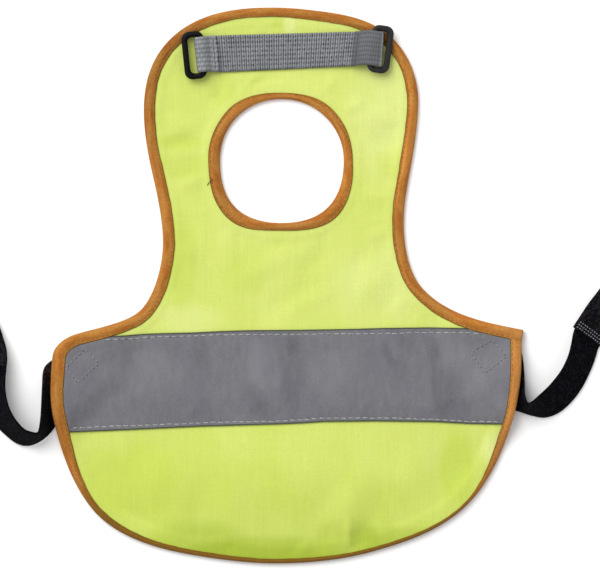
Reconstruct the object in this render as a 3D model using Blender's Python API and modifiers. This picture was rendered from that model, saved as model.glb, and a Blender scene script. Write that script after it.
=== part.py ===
"""A chicken safety vest, laid flat on its back: a bound bib and body panel with a reflective band,
a webbing strap that holds two plastic rings, and two elastic straps with hook-and-loop tabs.

Tables and sizes are in millimetres. Z is up and the vest rests on z = 0. The origin is the
middle of the panel's outline. +Y runs from the body towards the bib.
"""

import math
from collections import namedtuple

import bmesh
import bpy
from mathutils import Matrix, Vector
from mathutils.geometry import delaunay_2d_cdt

MM = 0.001
SEAM_GAP = 0.3  # between pieces that are sewn to each other or lie on each other

# Body panel
PANEL_THICK = 2.0
RIM_THICK = 1.2  # where the binding presses it
PANEL_GRID = 11.0  # between the points of its free part
GRID_MARGIN = 5.0  # from them to any edge

# Binding, a strip folded round the rim
BIND_WALL = 1.0
BIND_UNDER = 7.0  # reach of its lower half
BIND_ROUND = 0.6
RIM_INSET = BIND_WALL + SEAM_GAP
RIM_RAISE = BIND_WALL + SEAM_GAP
RIM_REACH = BIND_UNDER + 2 * SEAM_GAP
RIM_SLOPE_END = 11.5
BIND_TOP = RIM_RAISE + RIM_THICK + SEAM_GAP + BIND_WALL

# Reflective band
TAPE_THICK = 1.0
TAPE_STEP = 9.5
TAPE_CORNER = 1.5  # no end point is nearer than this to a corner

# Webbing strap across the bib, and its rings
WEB_WIDE, WEB_THICK = 19.0, 1.2
WEB_REST = PANEL_THICK + 2 * SEAM_GAP + WEB_THICK / 2  # its middle's height where it lies flat
WEB_RISE_LEFT, WEB_RISE_RIGHT = 12.0, 26.0  # where it starts to rise over the binding
RING_LONG, RING_WIDE, RING_BAR = 25.8, 12.3, 2.9
RING_CORNER = 2.2
BAR_PLAY = 0.4

# Elastic straps, 20 mm wide, and their tabs, 22 mm wide: the widths are in the tables
STRAP_THICK = 1.4
TAB_THICK = 2.4
ROW_STEPS = 2  # faces from one row of a strap's table to the next
STRAP_COLUMNS, TAB_COLUMNS = 5, 3  # points across
STRAP_CLEAR = 0.1  # its lower edge's height above the surface
STRAP_PAD = STRAP_CLEAR + STRAP_THICK + SEAM_GAP  # how far it lifts the panel that lies on it

# The panel's outline, anticlockwise from the sharp corner of the right shoulder. Heading is the
# direction there in degrees, pull the handles' share of the chord, steps the stretch's faces,
# and bind the width of binding that shows on top.
OutlineRow = namedtuple("OutlineRow", "name x y heading pull steps bind")
OUTLINE = (
    OutlineRow("right shoulder corner", 127.4, -24.6, 165, 0.27, 8, 6.3),
    OutlineRow("right shoulder bend", 74.9, -2.5, 135, 0.35, 6, 6.0),
    OutlineRow("right waist", 63.3, 37.5, 88, 0.26, 8, 6.0),
    OutlineRow("right side of bib", 71.2, 98.0, 89, 0.36, 6, 5.8),
    OutlineRow("right corner of bib", 57.8, 133.6, 135, 0.34, 8, 5.6),
    OutlineRow("top of bib", -3.0, 149.9, 180, 0.38, 8, 5.6),
    OutlineRow("left corner of bib", -64.3, 132.8, 226, 0.35, 6, 5.6),
    OutlineRow("left side of bib", -77.2, 93.0, 271, 0.37, 8, 5.8),
    OutlineRow("left waist", -67.0, 26.0, 271, 0.29, 6, 6.0),
    OutlineRow("left shoulder bend", -78.6, -12.2, 229, 0.30, 5, 6.0),
    OutlineRow("left shoulder", -113.0, -25.6, 196, 0.34, 5, 6.4),
    OutlineRow("left shoulder round", -126.5, -38.5, 266, 0.37, 6, 6.3),
    OutlineRow("left side", -125.5, -73.0, 283, 0.33, 6, 5.8),
    OutlineRow("lower left", -104.5, -121.0, 310, 0.33, 8, 4.0),
    OutlineRow("hem, left", -52.0, -145.2, 350, 0.33, 6, 2.8),
    OutlineRow("hem, middle", -6.0, -150.0, 0, 0.32, 6, 2.2),
    OutlineRow("hem, right", 45.0, -144.0, 15, 0.33, 7, 1.9),
    OutlineRow("lower right", 96.0, -119.8, 43, 0.34, 7, 2.6),
    OutlineRow("right side", 121.0, -76.4, 72, 0.33, 6, 5.2),
    OutlineRow("right side, upper", 127.0, -41.0, 89, 0.33, 2, 6.0),
    OutlineRow("right shoulder corner", 127.4, -24.6, 90, 0.33, 0, 6.3),
)

# The neck hole, clockwise, so that the cloth lies on the same side as on the outline.
NECK = (
    OutlineRow("right", 30.6, 68.0, 270, 0.41, 11, 5.4),
    OutlineRow("bottom", -2.7, 33.7, 180, 0.46, 11, 4.1),
    OutlineRow("left", -35.7, 68.0, 90, 0.41, 10, 6.6),
    OutlineRow("top", -2.7, 100.6, 0, 0.36, 10, 3.6),
    OutlineRow("right", 30.6, 68.0, 270, 0.41, 0, 5.4),
)

# The band's long edges, from left to right, where y is the band's edge at that x.
EdgeRow = namedtuple("EdgeRow", "x y")
TAPE_TOP = (
    EdgeRow(-130.0, -28.6),
    EdgeRow(-95.0, -27.1),
    EdgeRow(-46.0, -25.1),
    EdgeRow(8.0, -24.1),
    EdgeRow(62.0, -23.1),
    EdgeRow(100.0, -22.8),
    EdgeRow(130.0, -24.0),
)
TAPE_BOTTOM = (
    EdgeRow(-130.0, -80.1),
    EdgeRow(-95.0, -78.4),
    EdgeRow(-46.0, -76.1),
    EdgeRow(8.0, -74.4),
    EdgeRow(48.0, -73.5),
    EdgeRow(80.0, -73.7),
    EdgeRow(100.0, -74.8),
    EdgeRow(130.0, -75.2),
)

# Where the panel stands off the surface it lies on: over the straps' sewn ends, and in soft
# domes and folds. A hump is an oval with its height in the middle, turned by its heading.
PadRow = namedtuple("PadRow", "name x y to_x to_y full none height")
PADS = (
    PadRow("left strap", -103.8, -36.8, -124.5, -55.4, 13.0, 25.0, STRAP_PAD),
    PadRow("left edge on curl", -126.0, -58.0, -126.0, -64.0, 4.0, 28.0, 3.6),
    PadRow("right strap", 102.6, -30.6, 122.8, -53.2, 13.0, 25.0, STRAP_PAD),
    PadRow("right edge on curl", 124.5, -54.0, 124.0, -64.0, 5.0, 28.0, 6.3),
)
HumpRow = namedtuple("HumpRow", "name x y heading half_long half_wide height")
HUMPS = (
    HumpRow("lower lobe", -6.0, -106.0, 0, 98.0, 40.0, 3.2),
    HumpRow("fold beside the hem", 34.0, -120.0, 60, 34.0, 15.0, 1.6),
    HumpRow("fold at lower left", -62.0, -112.0, 120, 34.0, 16.0, 1.2),
)

# A strap's sections from its sewn end to its tab. The lower edge runs near the surface, the
# upper edge rises as the strap turns on edge. A section is straight at bend 1, and above that it
# stays low and turns up towards its upper edge.
StrapRow = namedtuple("StrapRow", "name lower_x lower_y upper_x upper_y rise bend")
STRAP_LEFT = (
    StrapRow("sewn end", -97.1, -44.2, -110.5, -29.4, 0.0, 1.0),
    StrapRow("stitching", -104.5, -50.0, -117.4, -34.8, 0.0, 1.0),
    StrapRow("under the edge", -112.6, -55.0, -124.8, -39.2, 0.0, 1.0),
    StrapRow("clear of the edge", -119.0, -60.4, -130.9, -44.6, 0.0, 1.5),
    StrapRow("curling", -122.6, -70.0, -131.8, -55.4, 8.4, 1.6),
    StrapRow("rising", -125.6, -77.2, -131.9, -65.2, 14.4, 1.4),
    StrapRow("on edge", -129.2, -81.4, -132.3, -73.6, 18.0, 1.1),
    StrapRow("tightest turn", -134.2, -84.7, -133.4, -78.8, 18.9, 1.0),
    StrapRow("leaving the turn", -139.8, -86.5, -136.9, -78.7, 18.2, 1.0),
    StrapRow("opening", -145.7, -85.3, -141.2, -76.8, 17.5, 1.0),
    StrapRow("sweeping up", -152.0, -80.6, -145.8, -71.6, 16.7, 1.0),
    StrapRow("leaning back", -157.8, -74.4, -149.1, -65.2, 15.4, 1.0),
    StrapRow("broad curve", -162.4, -66.6, -150.9, -57.9, 13.8, 1.0),
    StrapRow("straightening", -165.8, -57.4, -151.2, -50.6, 12.0, 1.0),
    StrapRow("under the tab", -167.8, -48.3, -150.7, -44.0, 9.8, 1.0),
)
STRAP_RIGHT = (
    StrapRow("sewn end", 95.1, -37.1, 110.0, -24.3, 0.0, 1.0),
    StrapRow("stitching", 101.2, -44.0, 116.2, -30.8, 0.0, 1.0),
    StrapRow("under the edge", 106.8, -50.5, 122.2, -37.0, 0.0, 1.0),
    StrapRow("clear of the edge", 111.4, -56.4, 126.2, -43.2, 0.0, 2.2),
    StrapRow("curling", 116.0, -62.8, 127.4, -50.4, 5.6, 2.8),
    StrapRow("rising", 120.4, -66.9, 128.5, -58.9, 15.0, 2.5),
    StrapRow("tightest turn", 126.8, -68.4, 129.9, -63.1, 18.9, 1.3),
    StrapRow("leaving the turn", 133.1, -70.4, 132.2, -62.2, 18.2, 1.0),
    StrapRow("opening", 139.8, -71.4, 134.6, -60.0, 15.6, 1.0),
    StrapRow("sweeping up", 147.4, -68.6, 138.7, -56.4, 13.4, 1.0),
    StrapRow("broad curve", 154.4, -62.4, 143.2, -51.7, 12.7, 1.0),
    StrapRow("leaning back", 160.1, -54.5, 147.9, -45.4, 12.7, 1.0),
    StrapRow("straightening", 164.9, -44.5, 151.4, -38.1, 12.6, 1.0),
    StrapRow("narrow stretch", 167.2, -38.0, 153.2, -31.4, 11.8, 1.0),
    StrapRow("under the tab", 168.6, -33.4, 154.4, -25.4, 10.6, 1.0),
)
TAB_LEFT = (
    StrapRow("sewn end", -169.5, -47.4, -150.4, -43.0, 10.6, 1.0),
    StrapRow("leaning", -170.9, -40.0, -150.6, -35.6, 7.6, 1.0),
    StrapRow("settling", -174.4, -31.0, -153.3, -26.2, 3.6, 1.0),
    StrapRow("flat", -179.2, -19.0, -158.0, -13.2, 0.0, 1.0),
    StrapRow("free end", -188.9, 11.6, -167.7, 17.4, 0.0, 1.0),
)
TAB_RIGHT = (
    StrapRow("sewn end", 170.2, -33.2, 154.3, -22.2, 10.4, 1.0),
    StrapRow("leaning", 179.8, -21.4, 162.6, -9.8, 7.0, 1.0),
    StrapRow("settling", 187.1, -13.5, 169.3, -1.2, 3.6, 1.0),
    StrapRow("flat", 196.8, -0.2, 178.9, 12.5, 0.0, 1.0),
    StrapRow("free end", 208.6, 16.6, 190.7, 29.3, 0.0, 1.0),
)

# The rings' held bars. Lean turns the ring in the plane, drop is how much lower its free bar is.
RingRow = namedtuple("RingRow", "name x y bar_z lean drop fold_reach flap web_z")
RING_LEFT = RingRow("ring_left", -45.3, 124.6, 5.9, 6.0, 0.0, 3.9, 12.0, 3.5)
RING_RIGHT = RingRow("ring_right", 46.3, 128.0, 7.2, -8.0, 1.5, 5.4, 15.7, 4.8)

# Colours, with roughness
GREEN = ((0.66, 0.86, 0.10), 0.75)
ORANGE = ((0.62, 0.24, 0.04), 0.7)
TAPE_GREY = ((0.20, 0.20, 0.22), 0.5)
WEB_GREY = ((0.20, 0.21, 0.23), 0.85)
ELASTIC_BLACK = ((0.012, 0.012, 0.015), 0.85)
TAB_BLACK = ((0.015, 0.015, 0.018), 0.95)
PLASTIC_BLACK = ((0.015, 0.015, 0.017), 0.4)


def clear_scene():
    for thing in list(bpy.data.objects):
        bpy.data.objects.remove(thing)


def collection_named(name):
    group = bpy.data.collections.new(name)
    bpy.context.scene.collection.children.link(group)
    return group


def material(name, finish):
    colour, roughness = finish
    made = bpy.data.materials.new(name)
    made.use_nodes = True
    shader = made.node_tree.nodes["Principled BSDF"]
    shader.inputs["Base Color"].default_value = (*colour, 1.0)
    shader.inputs["Roughness"].default_value = roughness
    return made


def smooth_step(value):
    value = min(max(value, 0.0), 1.0)
    return value * value * (3 - 2 * value)


def fade(distance, full, none):
    """1 up to the full distance, falling softly to 0 at the other."""
    return 1 - smooth_step((distance - full) / (none - full))


def segment_distance(x, y, x0, y0, x1, y1):
    dx, dy = x1 - x0, y1 - y0
    share = ((x - x0) * dx + (y - y0) * dy) / max(dx * dx + dy * dy, 1e-9)
    share = min(max(share, 0.0), 1.0)
    return math.hypot(x - x0 - share * dx, y - y0 - share * dy)


def stand_off(x, y):
    """How high the panel's underside lies above the surface, its rim's own raise left out."""
    height = 0.0
    for pad in PADS:
        away = segment_distance(x, y, pad.x, pad.y, pad.to_x, pad.to_y)
        height += pad.height * fade(away, pad.full, pad.none)
    for hump in HUMPS:
        turn = math.radians(hump.heading)
        dx, dy = x - hump.x, y - hump.y
        along = dx * math.cos(turn) + dy * math.sin(turn)
        across = dy * math.cos(turn) - dx * math.sin(turn)
        oval = math.hypot(along / hump.half_long, across / hump.half_wide)
        height += hump.height * fade(oval, 0.0, 1.0)
    return height


def heading_vector(degrees):
    turn = math.radians(degrees)
    return Vector((math.cos(turn), math.sin(turn)))


def curve_through(rows):
    """Points and binding widths along cubic arcs from row to row, without the last row's."""
    points, widths = [], []
    for row, following in zip(rows, rows[1:]):
        start, end = Vector((row.x, row.y)), Vector((following.x, following.y))
        chord = (end - start).length
        leave = start + heading_vector(row.heading) * row.pull * chord
        arrive = end - heading_vector(following.heading) * following.pull * chord
        for step in range(row.steps):
            t = step / row.steps
            s = 1 - t
            spot = s**3 * start + 3 * s * s * t * leave + 3 * s * t * t * arrive + t**3 * end
            points.append(spot)
            widths.append(row.bind + (following.bind - row.bind) * t)
    return points, widths


def inward_normals(points):
    """A vector at each point of a closed loop that moves both its edges inwards by 1."""
    normals = []
    for index, point in enumerate(points):
        before = (point - points[index - 1]).normalized()
        after = (points[(index + 1) % len(points)] - point).normalized()
        left_before = Vector((-before.y, before.x))
        left_after = Vector((-after.y, after.x))
        normals.append((left_before + left_after) / (1 + left_before.dot(left_after)))
    return normals


def inset(points, distances):
    moved = []
    for point, normal, distance in zip(points, inward_normals(points), distances):
        moved.append(point + normal * distance)
    return moved


def inset_evenly(points, distance):
    return inset(points, [distance] * len(points))


def loop_distance(x, y, loop):
    nearest = 1e9
    for index, point in enumerate(loop):
        last = loop[index - 1]
        nearest = min(nearest, segment_distance(x, y, last.x, last.y, point.x, point.y))
    return nearest


def inside(x, y, loop):
    """Whether a point is within a closed loop."""
    within = False
    for index, point in enumerate(loop):
        last = loop[index - 1]
        if (point.y > y) != (last.y > y):
            crossing = (last.x - point.x) * (y - point.y) / (last.y - point.y) + point.x
            if x < crossing:
                within = not within
    return within


def height_on(rows, x):
    """The y of a band's edge at this x."""
    for row, following in zip(rows, rows[1:]):
        if x <= following.x:
            share = (x - row.x) / (following.x - row.x)
            return row.y + (following.y - row.y) * share
    return rows[-1].y


def tape_loop(limits):
    """The band's outline: two long edges, and ends that follow the binding's inner edge."""
    loop = []
    left = [p for p in limits if p.x < 0]
    right = [p for p in limits if p.x > 0]

    def between(p):
        low, high = height_on(TAPE_BOTTOM, p.x), height_on(TAPE_TOP, p.x)
        return low + TAPE_CORNER < p.y < high - TAPE_CORNER

    def end_x(side, rows):
        """Where this long edge meets the limit on this side, at its furthest from the middle."""
        met = []
        for point, following in zip(side, side[1:]):
            over = point.y - height_on(rows, point.x)
            over_next = following.y - height_on(rows, following.x)
            if (over > 0) != (over_next > 0):
                share = over / (over - over_next)
                met.append(point.x + (following.x - point.x) * share)
        return max(met, key=abs)

    def long_edge(rows, x0, x1):
        count = max(2, round(abs(x1 - x0) / TAPE_STEP))
        stations = [x0 + (x1 - x0) * step / count for step in range(count + 1)]
        return [Vector((x, height_on(rows, x))) for x in stations]

    top_left, top_right = end_x(left, TAPE_TOP), end_x(right, TAPE_TOP)
    low_left, low_right = end_x(left, TAPE_BOTTOM), end_x(right, TAPE_BOTTOM)
    loop += long_edge(TAPE_BOTTOM, low_left, low_right)
    loop += sorted([p for p in right if between(p)], key=lambda p: p.y)
    loop += long_edge(TAPE_TOP, top_right, top_left)
    loop += sorted([p for p in left if between(p)], key=lambda p: -p.y)
    return loop


def grid_points(loops, margin):
    """Points of a triangular grid over the panel that keep clear of every loop."""
    outer = loops[0]
    rows_apart = PANEL_GRID * math.sqrt(3) / 2
    low_x, high_x = min(p.x for p in outer), max(p.x for p in outer)
    low_y, high_y = min(p.y for p in outer), max(p.y for p in outer)
    found = []
    row = 0
    y = low_y
    while y < high_y:
        x = low_x + (row % 2) * PANEL_GRID / 2
        while x < high_x:
            if inside(x, y, outer):
                if all(loop_distance(x, y, loop) > margin for loop in loops):
                    found.append(Vector((x, y)))
            x += PANEL_GRID
        y += rows_apart
        row += 1
    return found


def triangulate(loops, extra):
    """Triangles over the loops' edges and the extra points."""
    spots, edges = [], []
    for loop in loops:
        first = len(spots)
        spots += loop
        for index in range(len(loop)):
            edges.append((first + index, first + (index + 1) % len(loop)))
    spots += extra
    found = delaunay_2d_cdt(spots, edges, [], 0, 1e-5)
    return found[0], found[2]


def middle(triangle, spots):
    corners = [spots[index] for index in triangle]
    return sum((c.x for c in corners)) / 3, sum((c.y for c in corners)) / 3


def add_mesh_object(name, bm, finish, group):
    bmesh.ops.recalc_face_normals(bm, faces=bm.faces)
    mesh = bpy.data.meshes.new(name)
    bm.to_mesh(mesh)
    bm.free()
    made = bpy.data.objects.new(name, mesh)
    made.data.materials.append(material(name, finish))
    group.objects.link(made)
    return made


def thick_sheet(name, spots, triangles, under, top, finish, group):
    """A cloth piece between two height functions, over triangles laid out in plan."""
    bm = bmesh.new()
    corners = {}
    for triangle in triangles:
        for index in triangle:
            if index not in corners:
                x, y = spots[index]
                corners[index] = bm.verts.new((x * MM, y * MM, under(x, y) * MM))
        bm.faces.new([corners[index] for index in triangle])
    grown = bmesh.ops.extrude_face_region(bm, geom=list(bm.faces))["geom"]
    for vertex in grown:
        if isinstance(vertex, bmesh.types.BMVert):
            x, y = vertex.co.x / MM, vertex.co.y / MM
            vertex.co.z = top(x, y) * MM
    return add_mesh_object(name, bm, finish, group)


def binding_section(width):
    """The folded strip's section: distance in from the outer edge, and height."""
    low = RIM_RAISE + RIM_THICK + SEAM_GAP
    return (
        (BIND_UNDER, 0.0),
        (BIND_ROUND, 0.0),
        (0.0, BIND_ROUND),
        (0.0, BIND_TOP - BIND_ROUND),
        (BIND_ROUND, BIND_TOP),
        (width, BIND_TOP),
        (width, low),
        (BIND_WALL, low),
        (BIND_WALL, BIND_WALL),
        (BIND_UNDER, BIND_WALL),
    )


def add_binding(name, points, widths, group):
    """A strip folded round a closed edge, as rings of section corners joined round the loop."""
    bm = bmesh.new()
    normals = inward_normals(points)
    rings = []
    for point, normal, width in zip(points, normals, widths):
        ring = []
        for reach, height in binding_section(width):
            spot = point + normal * reach
            z = stand_off(spot.x, spot.y) + height
            ring.append(bm.verts.new((spot.x * MM, spot.y * MM, z * MM)))
        rings.append(ring)
    for index, ring in enumerate(rings):
        last = rings[index - 1]
        for corner in range(len(ring)):
            following = (corner + 1) % len(ring)
            bm.faces.new((last[corner], ring[corner], ring[following], last[following]))
    return add_mesh_object(name, bm, ORANGE, group)


def add_ribbon(name, sections, thickness, finish, group):
    """A strip of cloth over its middle surface, given as rows of points, with its thickness."""
    bm = bmesh.new()
    rows = [[bm.verts.new(Vector(p) * MM) for p in section] for section in sections]
    for row, following in zip(rows, rows[1:]):
        for column in range(len(row) - 1):
            corners = (row[column], row[column + 1], following[column + 1], following[column])
            bm.faces.new(corners)
    made = add_mesh_object(name, bm, finish, group)
    solidify = made.modifiers.new("thickness", "SOLIDIFY")
    solidify.thickness = thickness * MM
    solidify.offset = 0
    solidify.use_even_offset = True
    return made


def between_rows(rows):
    """Smooth values from row to row: each value follows a curve through its neighbours."""
    values = [row[1:] for row in rows]
    found = []
    for index in range(len(values) - 1):
        before = values[max(index - 1, 0)]
        here, there = values[index], values[index + 1]
        after = values[min(index + 2, len(values) - 1)]
        for step in range(ROW_STEPS):
            t = step / ROW_STEPS
            blend = []
            for a, b, c, d in zip(before, here, there, after):
                slope_in, slope_out = (c - a) / 2, (d - b) / 2
                bend = 2 * b - 2 * c + slope_in + slope_out
                swing = 3 * c - 3 * b - 2 * slope_in - slope_out
                blend.append(b + slope_in * t + swing * t * t + bend * t**3)
            found.append(blend)
    found.append(list(values[-1]))
    return found


def strap_sections(rows, thickness, columns):
    """Rows of points across a strap, from its lower edge to its upper one."""
    sections = []
    for low_x, low_y, high_x, high_y, rise, bend in between_rows(rows):
        section = []
        for column in range(columns):
            share = column / (columns - 1)
            lift = max(rise, 0.0) * share ** max(bend, 1.0)
            x = low_x + (high_x - low_x) * share
            y = low_y + (high_y - low_y) * share
            section.append((x, y, STRAP_CLEAR + thickness / 2 + lift))
        sections.append(section)
    return sections


def add_ring(row, outward, group):
    """A moulded rectangular ring, with its origin in the middle of the bar that the webbing holds."""
    half_long = (RING_LONG - RING_BAR) / 2
    width = RING_WIDE - RING_BAR
    curve = bpy.data.curves.new(row.name, "CURVE")
    curve.dimensions = "3D"
    curve.bevel_depth = RING_BAR / 2 * MM
    curve.bevel_resolution = 2
    corners = (
        (RING_CORNER, -half_long + RING_CORNER, 180),
        (width - RING_CORNER, -half_long + RING_CORNER, 270),
        (width - RING_CORNER, half_long - RING_CORNER, 0),
        (RING_CORNER, half_long - RING_CORNER, 90),
    )
    tilt = math.asin(row.drop / width)
    route = []
    for x, y, start in corners:
        for step in range(4):
            turn = math.radians(start + 30 * step)
            across = x + RING_CORNER * math.cos(turn)
            along = y + RING_CORNER * math.sin(turn)
            route.append((across * math.cos(tilt) * outward, along, -across * math.sin(tilt)))
    spline = curve.splines.new("POLY")
    spline.points.add(len(route) - 1)
    for point, place in zip(spline.points, route):
        point.co = (*(Vector(place) * MM), 1)
    spline.use_cyclic_u = True
    curve.materials.append(material(row.name, PLASTIC_BLACK))
    made = bpy.data.objects.new(row.name, curve)
    made.matrix_world = Matrix.Translation(Vector((row.x, row.y, row.bar_z)) * MM) @ Matrix.Rotation(
        math.radians(row.lean), 4, "Z"
    )
    group.objects.link(made)
    return made


def loop_profile(row):
    """One end of the webbing, from its flap's tip to where it is flat: distance inwards from the
    held bar's axis, and height of its middle surface."""
    eye = RING_BAR / 2 + BAR_PLAY + WEB_THICK / 2
    eye_at = -(row.fold_reach - eye - WEB_THICK / 2)
    tip = row.flap - row.fold_reach
    flap_z = row.web_z + WEB_THICK + SEAM_GAP
    top = row.bar_z + eye
    profile = [
        (tip, flap_z),
        (tip - 2.5, flap_z),
        (tip - 4.2, flap_z + 0.5),
        ((tip - 4.2) * 0.45 + 0.5, (flap_z + 0.5) * 0.4 + top * 0.6),
        (0.6, top),
    ]
    for step in range(7):
        turn = math.radians(90 + 30 * step)
        profile.append((eye_at + eye * math.cos(turn), row.bar_z + eye * math.sin(turn)))
    profile.append((tip * 0.5, row.web_z))
    return profile


def webbing_place(distance):
    """A spot along the webbing's middle in plan and its lean in degrees. Past a ring's held bar
    the webbing follows the ring."""
    start = Vector((RING_LEFT.x, RING_LEFT.y))
    end = Vector((RING_RIGHT.x, RING_RIGHT.y))
    length = (end - start).length
    if distance < 0:
        return start + heading_vector(RING_LEFT.lean) * distance, RING_LEFT.lean
    if distance > length:
        return end + heading_vector(RING_RIGHT.lean) * (distance - length), RING_RIGHT.lean
    share = distance / length
    return start.lerp(end, share), RING_LEFT.lean + (RING_RIGHT.lean - RING_LEFT.lean) * share


def webbing_sections():
    """Rows of points across the webbing, from the left flap round both folds to the right flap."""
    length = math.hypot(RING_RIGHT.x - RING_LEFT.x, RING_RIGHT.y - RING_LEFT.y)
    path = loop_profile(RING_LEFT)
    path += [(WEB_RISE_LEFT, WEB_REST), (length / 2, WEB_REST), (length - WEB_RISE_RIGHT, WEB_REST)]
    path += [(length - inward, z) for inward, z in reversed(loop_profile(RING_RIGHT))]
    sections = []
    for distance, z in path:
        centre, lean = webbing_place(distance)
        across = heading_vector(lean + 90) * WEB_WIDE / 2
        low, high = centre - across, centre + across
        sections.append(((low.x, low.y, z), (high.x, high.y, z)))
    return sections


def build():
    clear_scene()
    group = collection_named("chicken_safety_vest")
    outline, widths = curve_through(OUTLINE)
    neck, neck_widths = curve_through(NECK)

    def rim(x, y):
        """1 under the bindings, falling to 0 where the panel lies free."""
        away = min(loop_distance(x, y, outline), loop_distance(x, y, neck))
        return fade(away, RIM_REACH + SEAM_GAP, RIM_SLOPE_END)

    def panel_under(x, y):
        return stand_off(x, y) + RIM_RAISE * rim(x, y)

    def panel_top(x, y):
        return panel_under(x, y) + PANEL_THICK + (RIM_THICK - PANEL_THICK) * rim(x, y)

    def tape_under(x, y):
        return panel_top(x, y) + SEAM_GAP

    def tape_top(x, y):
        return tape_under(x, y) + TAPE_THICK

    rim_outer = inset_evenly(outline, RIM_INSET)
    rim_neck = inset_evenly(neck, RIM_INSET)
    shelf_outer = inset_evenly(outline, RIM_REACH)
    shelf_neck = inset_evenly(neck, RIM_REACH)
    tape = tape_loop(inset(outline, [width + SEAM_GAP for width in widths]))
    loops = [rim_outer, rim_neck, shelf_outer, shelf_neck, tape]
    extra = [p for p in grid_points(loops, GRID_MARGIN) if not inside(p.x, p.y, shelf_neck)]
    spots, triangles = triangulate(loops, extra)
    of_panel, of_tape = [], []
    for triangle in triangles:
        x, y = middle(triangle, spots)
        if inside(x, y, rim_outer) and not inside(x, y, rim_neck):
            of_panel.append(triangle)
            if inside(x, y, tape):
                of_tape.append(triangle)
    thick_sheet("body_panel", spots, of_panel, panel_under, panel_top, GREEN, group)
    thick_sheet("reflective_tape", spots, of_tape, tape_under, tape_top, TAPE_GREY, group)

    add_binding("edge_binding", outline, widths, group)
    add_binding("neck_binding", neck, neck_widths, group)
    add_ribbon("chest_webbing", webbing_sections(), WEB_THICK, WEB_GREY, group)
    add_ring(RING_LEFT, -1, group)
    add_ring(RING_RIGHT, 1, group)
    for side, rows in (("left", STRAP_LEFT), ("right", STRAP_RIGHT)):
        sections = strap_sections(rows, STRAP_THICK, STRAP_COLUMNS)
        add_ribbon("strap_" + side, sections, STRAP_THICK, ELASTIC_BLACK, group)
    for side, rows in (("left", TAB_LEFT), ("right", TAB_RIGHT)):
        sections = strap_sections(rows, TAB_THICK, TAB_COLUMNS)
        add_ribbon("tab_" + side, sections, TAB_THICK, TAB_BLACK, group)


build()
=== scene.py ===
"""The looks of a chicken safety vest, laid flat and face up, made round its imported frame.

Tables and sizes are in millimetres and the meshes in metres. Z is up, the vest rests on z = 0,
and +Y runs from the body towards the bib. The tables repeat the cut of the solid parts.
"""

import math
from collections import namedtuple

import bmesh
import bpy
import numpy as np
from mathutils.geometry import delaunay_2d_cdt
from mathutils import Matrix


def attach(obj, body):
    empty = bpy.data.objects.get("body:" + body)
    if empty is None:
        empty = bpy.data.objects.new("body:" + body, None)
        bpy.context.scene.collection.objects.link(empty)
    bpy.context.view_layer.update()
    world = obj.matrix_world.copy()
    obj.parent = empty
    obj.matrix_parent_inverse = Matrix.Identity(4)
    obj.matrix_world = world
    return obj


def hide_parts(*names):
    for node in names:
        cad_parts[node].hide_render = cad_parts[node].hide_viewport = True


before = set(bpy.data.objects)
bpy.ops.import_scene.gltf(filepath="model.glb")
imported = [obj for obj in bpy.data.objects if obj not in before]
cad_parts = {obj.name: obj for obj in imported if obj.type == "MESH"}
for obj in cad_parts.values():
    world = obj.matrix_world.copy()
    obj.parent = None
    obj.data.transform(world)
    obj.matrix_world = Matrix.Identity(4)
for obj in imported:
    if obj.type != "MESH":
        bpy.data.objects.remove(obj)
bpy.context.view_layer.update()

MM = 0.001
TURN = 2 * math.pi
TINY = 1e-9  # keeps a division by nothing from failing
AT_ONCE = 4000  # points that are measured together, to spare memory
CHANCE = np.random.default_rng(20)

# Body panel
PANEL_THICK = 2.0
RIM_THICK = 1.2  # where the binding presses it
RIM_INSET = 1.3  # from the bound edge to its own rim, inside the fold
RIM_RAISE = 1.3  # how high the fold holds its rim
RIM_FULL, RIM_SLOPE_END = 7.9, 11.5  # from the edge, how far it is pressed and where it is free
RIM_FLATTENS = 0.8  # the share of the creases that the binding presses out
HEM_HELD, HEM_FREE = 2.8, 6.5  # from the edge, where its creases end and where they are full
UNDER_FOLLOWS = 0.9  # the share of the creases that its underside follows
PANEL_STEP = 1.8  # between the points of its mesh
PANEL_CLEAR = 0.55 * PANEL_STEP  # from those points to its rim
EDGE_STEP = 1.2  # between the points of edges and bindings
LINE_STEP = 1.0  # between the points of lines of stitches
ONE_SPOT = 1e-5  # points that are closer together than this are one
SHEET_CRISP = 40  # a sheet's edges that are sharper than this angle stay crisp

# Reflective band
TAPE_LIFT = 0.12  # from the panel to its underside
TAPE_THICK = 0.75
TAPE_LEAST = 0.25  # how thick it stays where a stitch presses it
TAPE_TROUGH = 0.12  # how far a crease may sink in it
TAPE_TUCK = 0.06  # from its ends to the binding
TAPE_STEP = 1.6  # between the points of its mesh
TAPE_CLEAR = 0.6  # from its mesh's points to its rim
TAPE_REACH = 60.0  # its ends are further than this from the vest's middle
TAPE_END_CLEAR = 0.4  # from its corners to the points of its ends
BAND_WIDE = 50.5  # across its cloth
SEAM_PAST = 14.0  # how far past the band's corners a seam is looked for
SEAM_SIDE, SEAM_CLEAR = 0.7, 1.4  # from a seam to the points beside it, and to the next ones
# The groove of a seam: its depth, how much that changes along it, its half width and its pitch
DIMPLE_DEEP, DIMPLE_PULL, DIMPLE_WIDE, DIMPLE_PITCH = 0.14, 0.08, 0.8, 4.0

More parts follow.
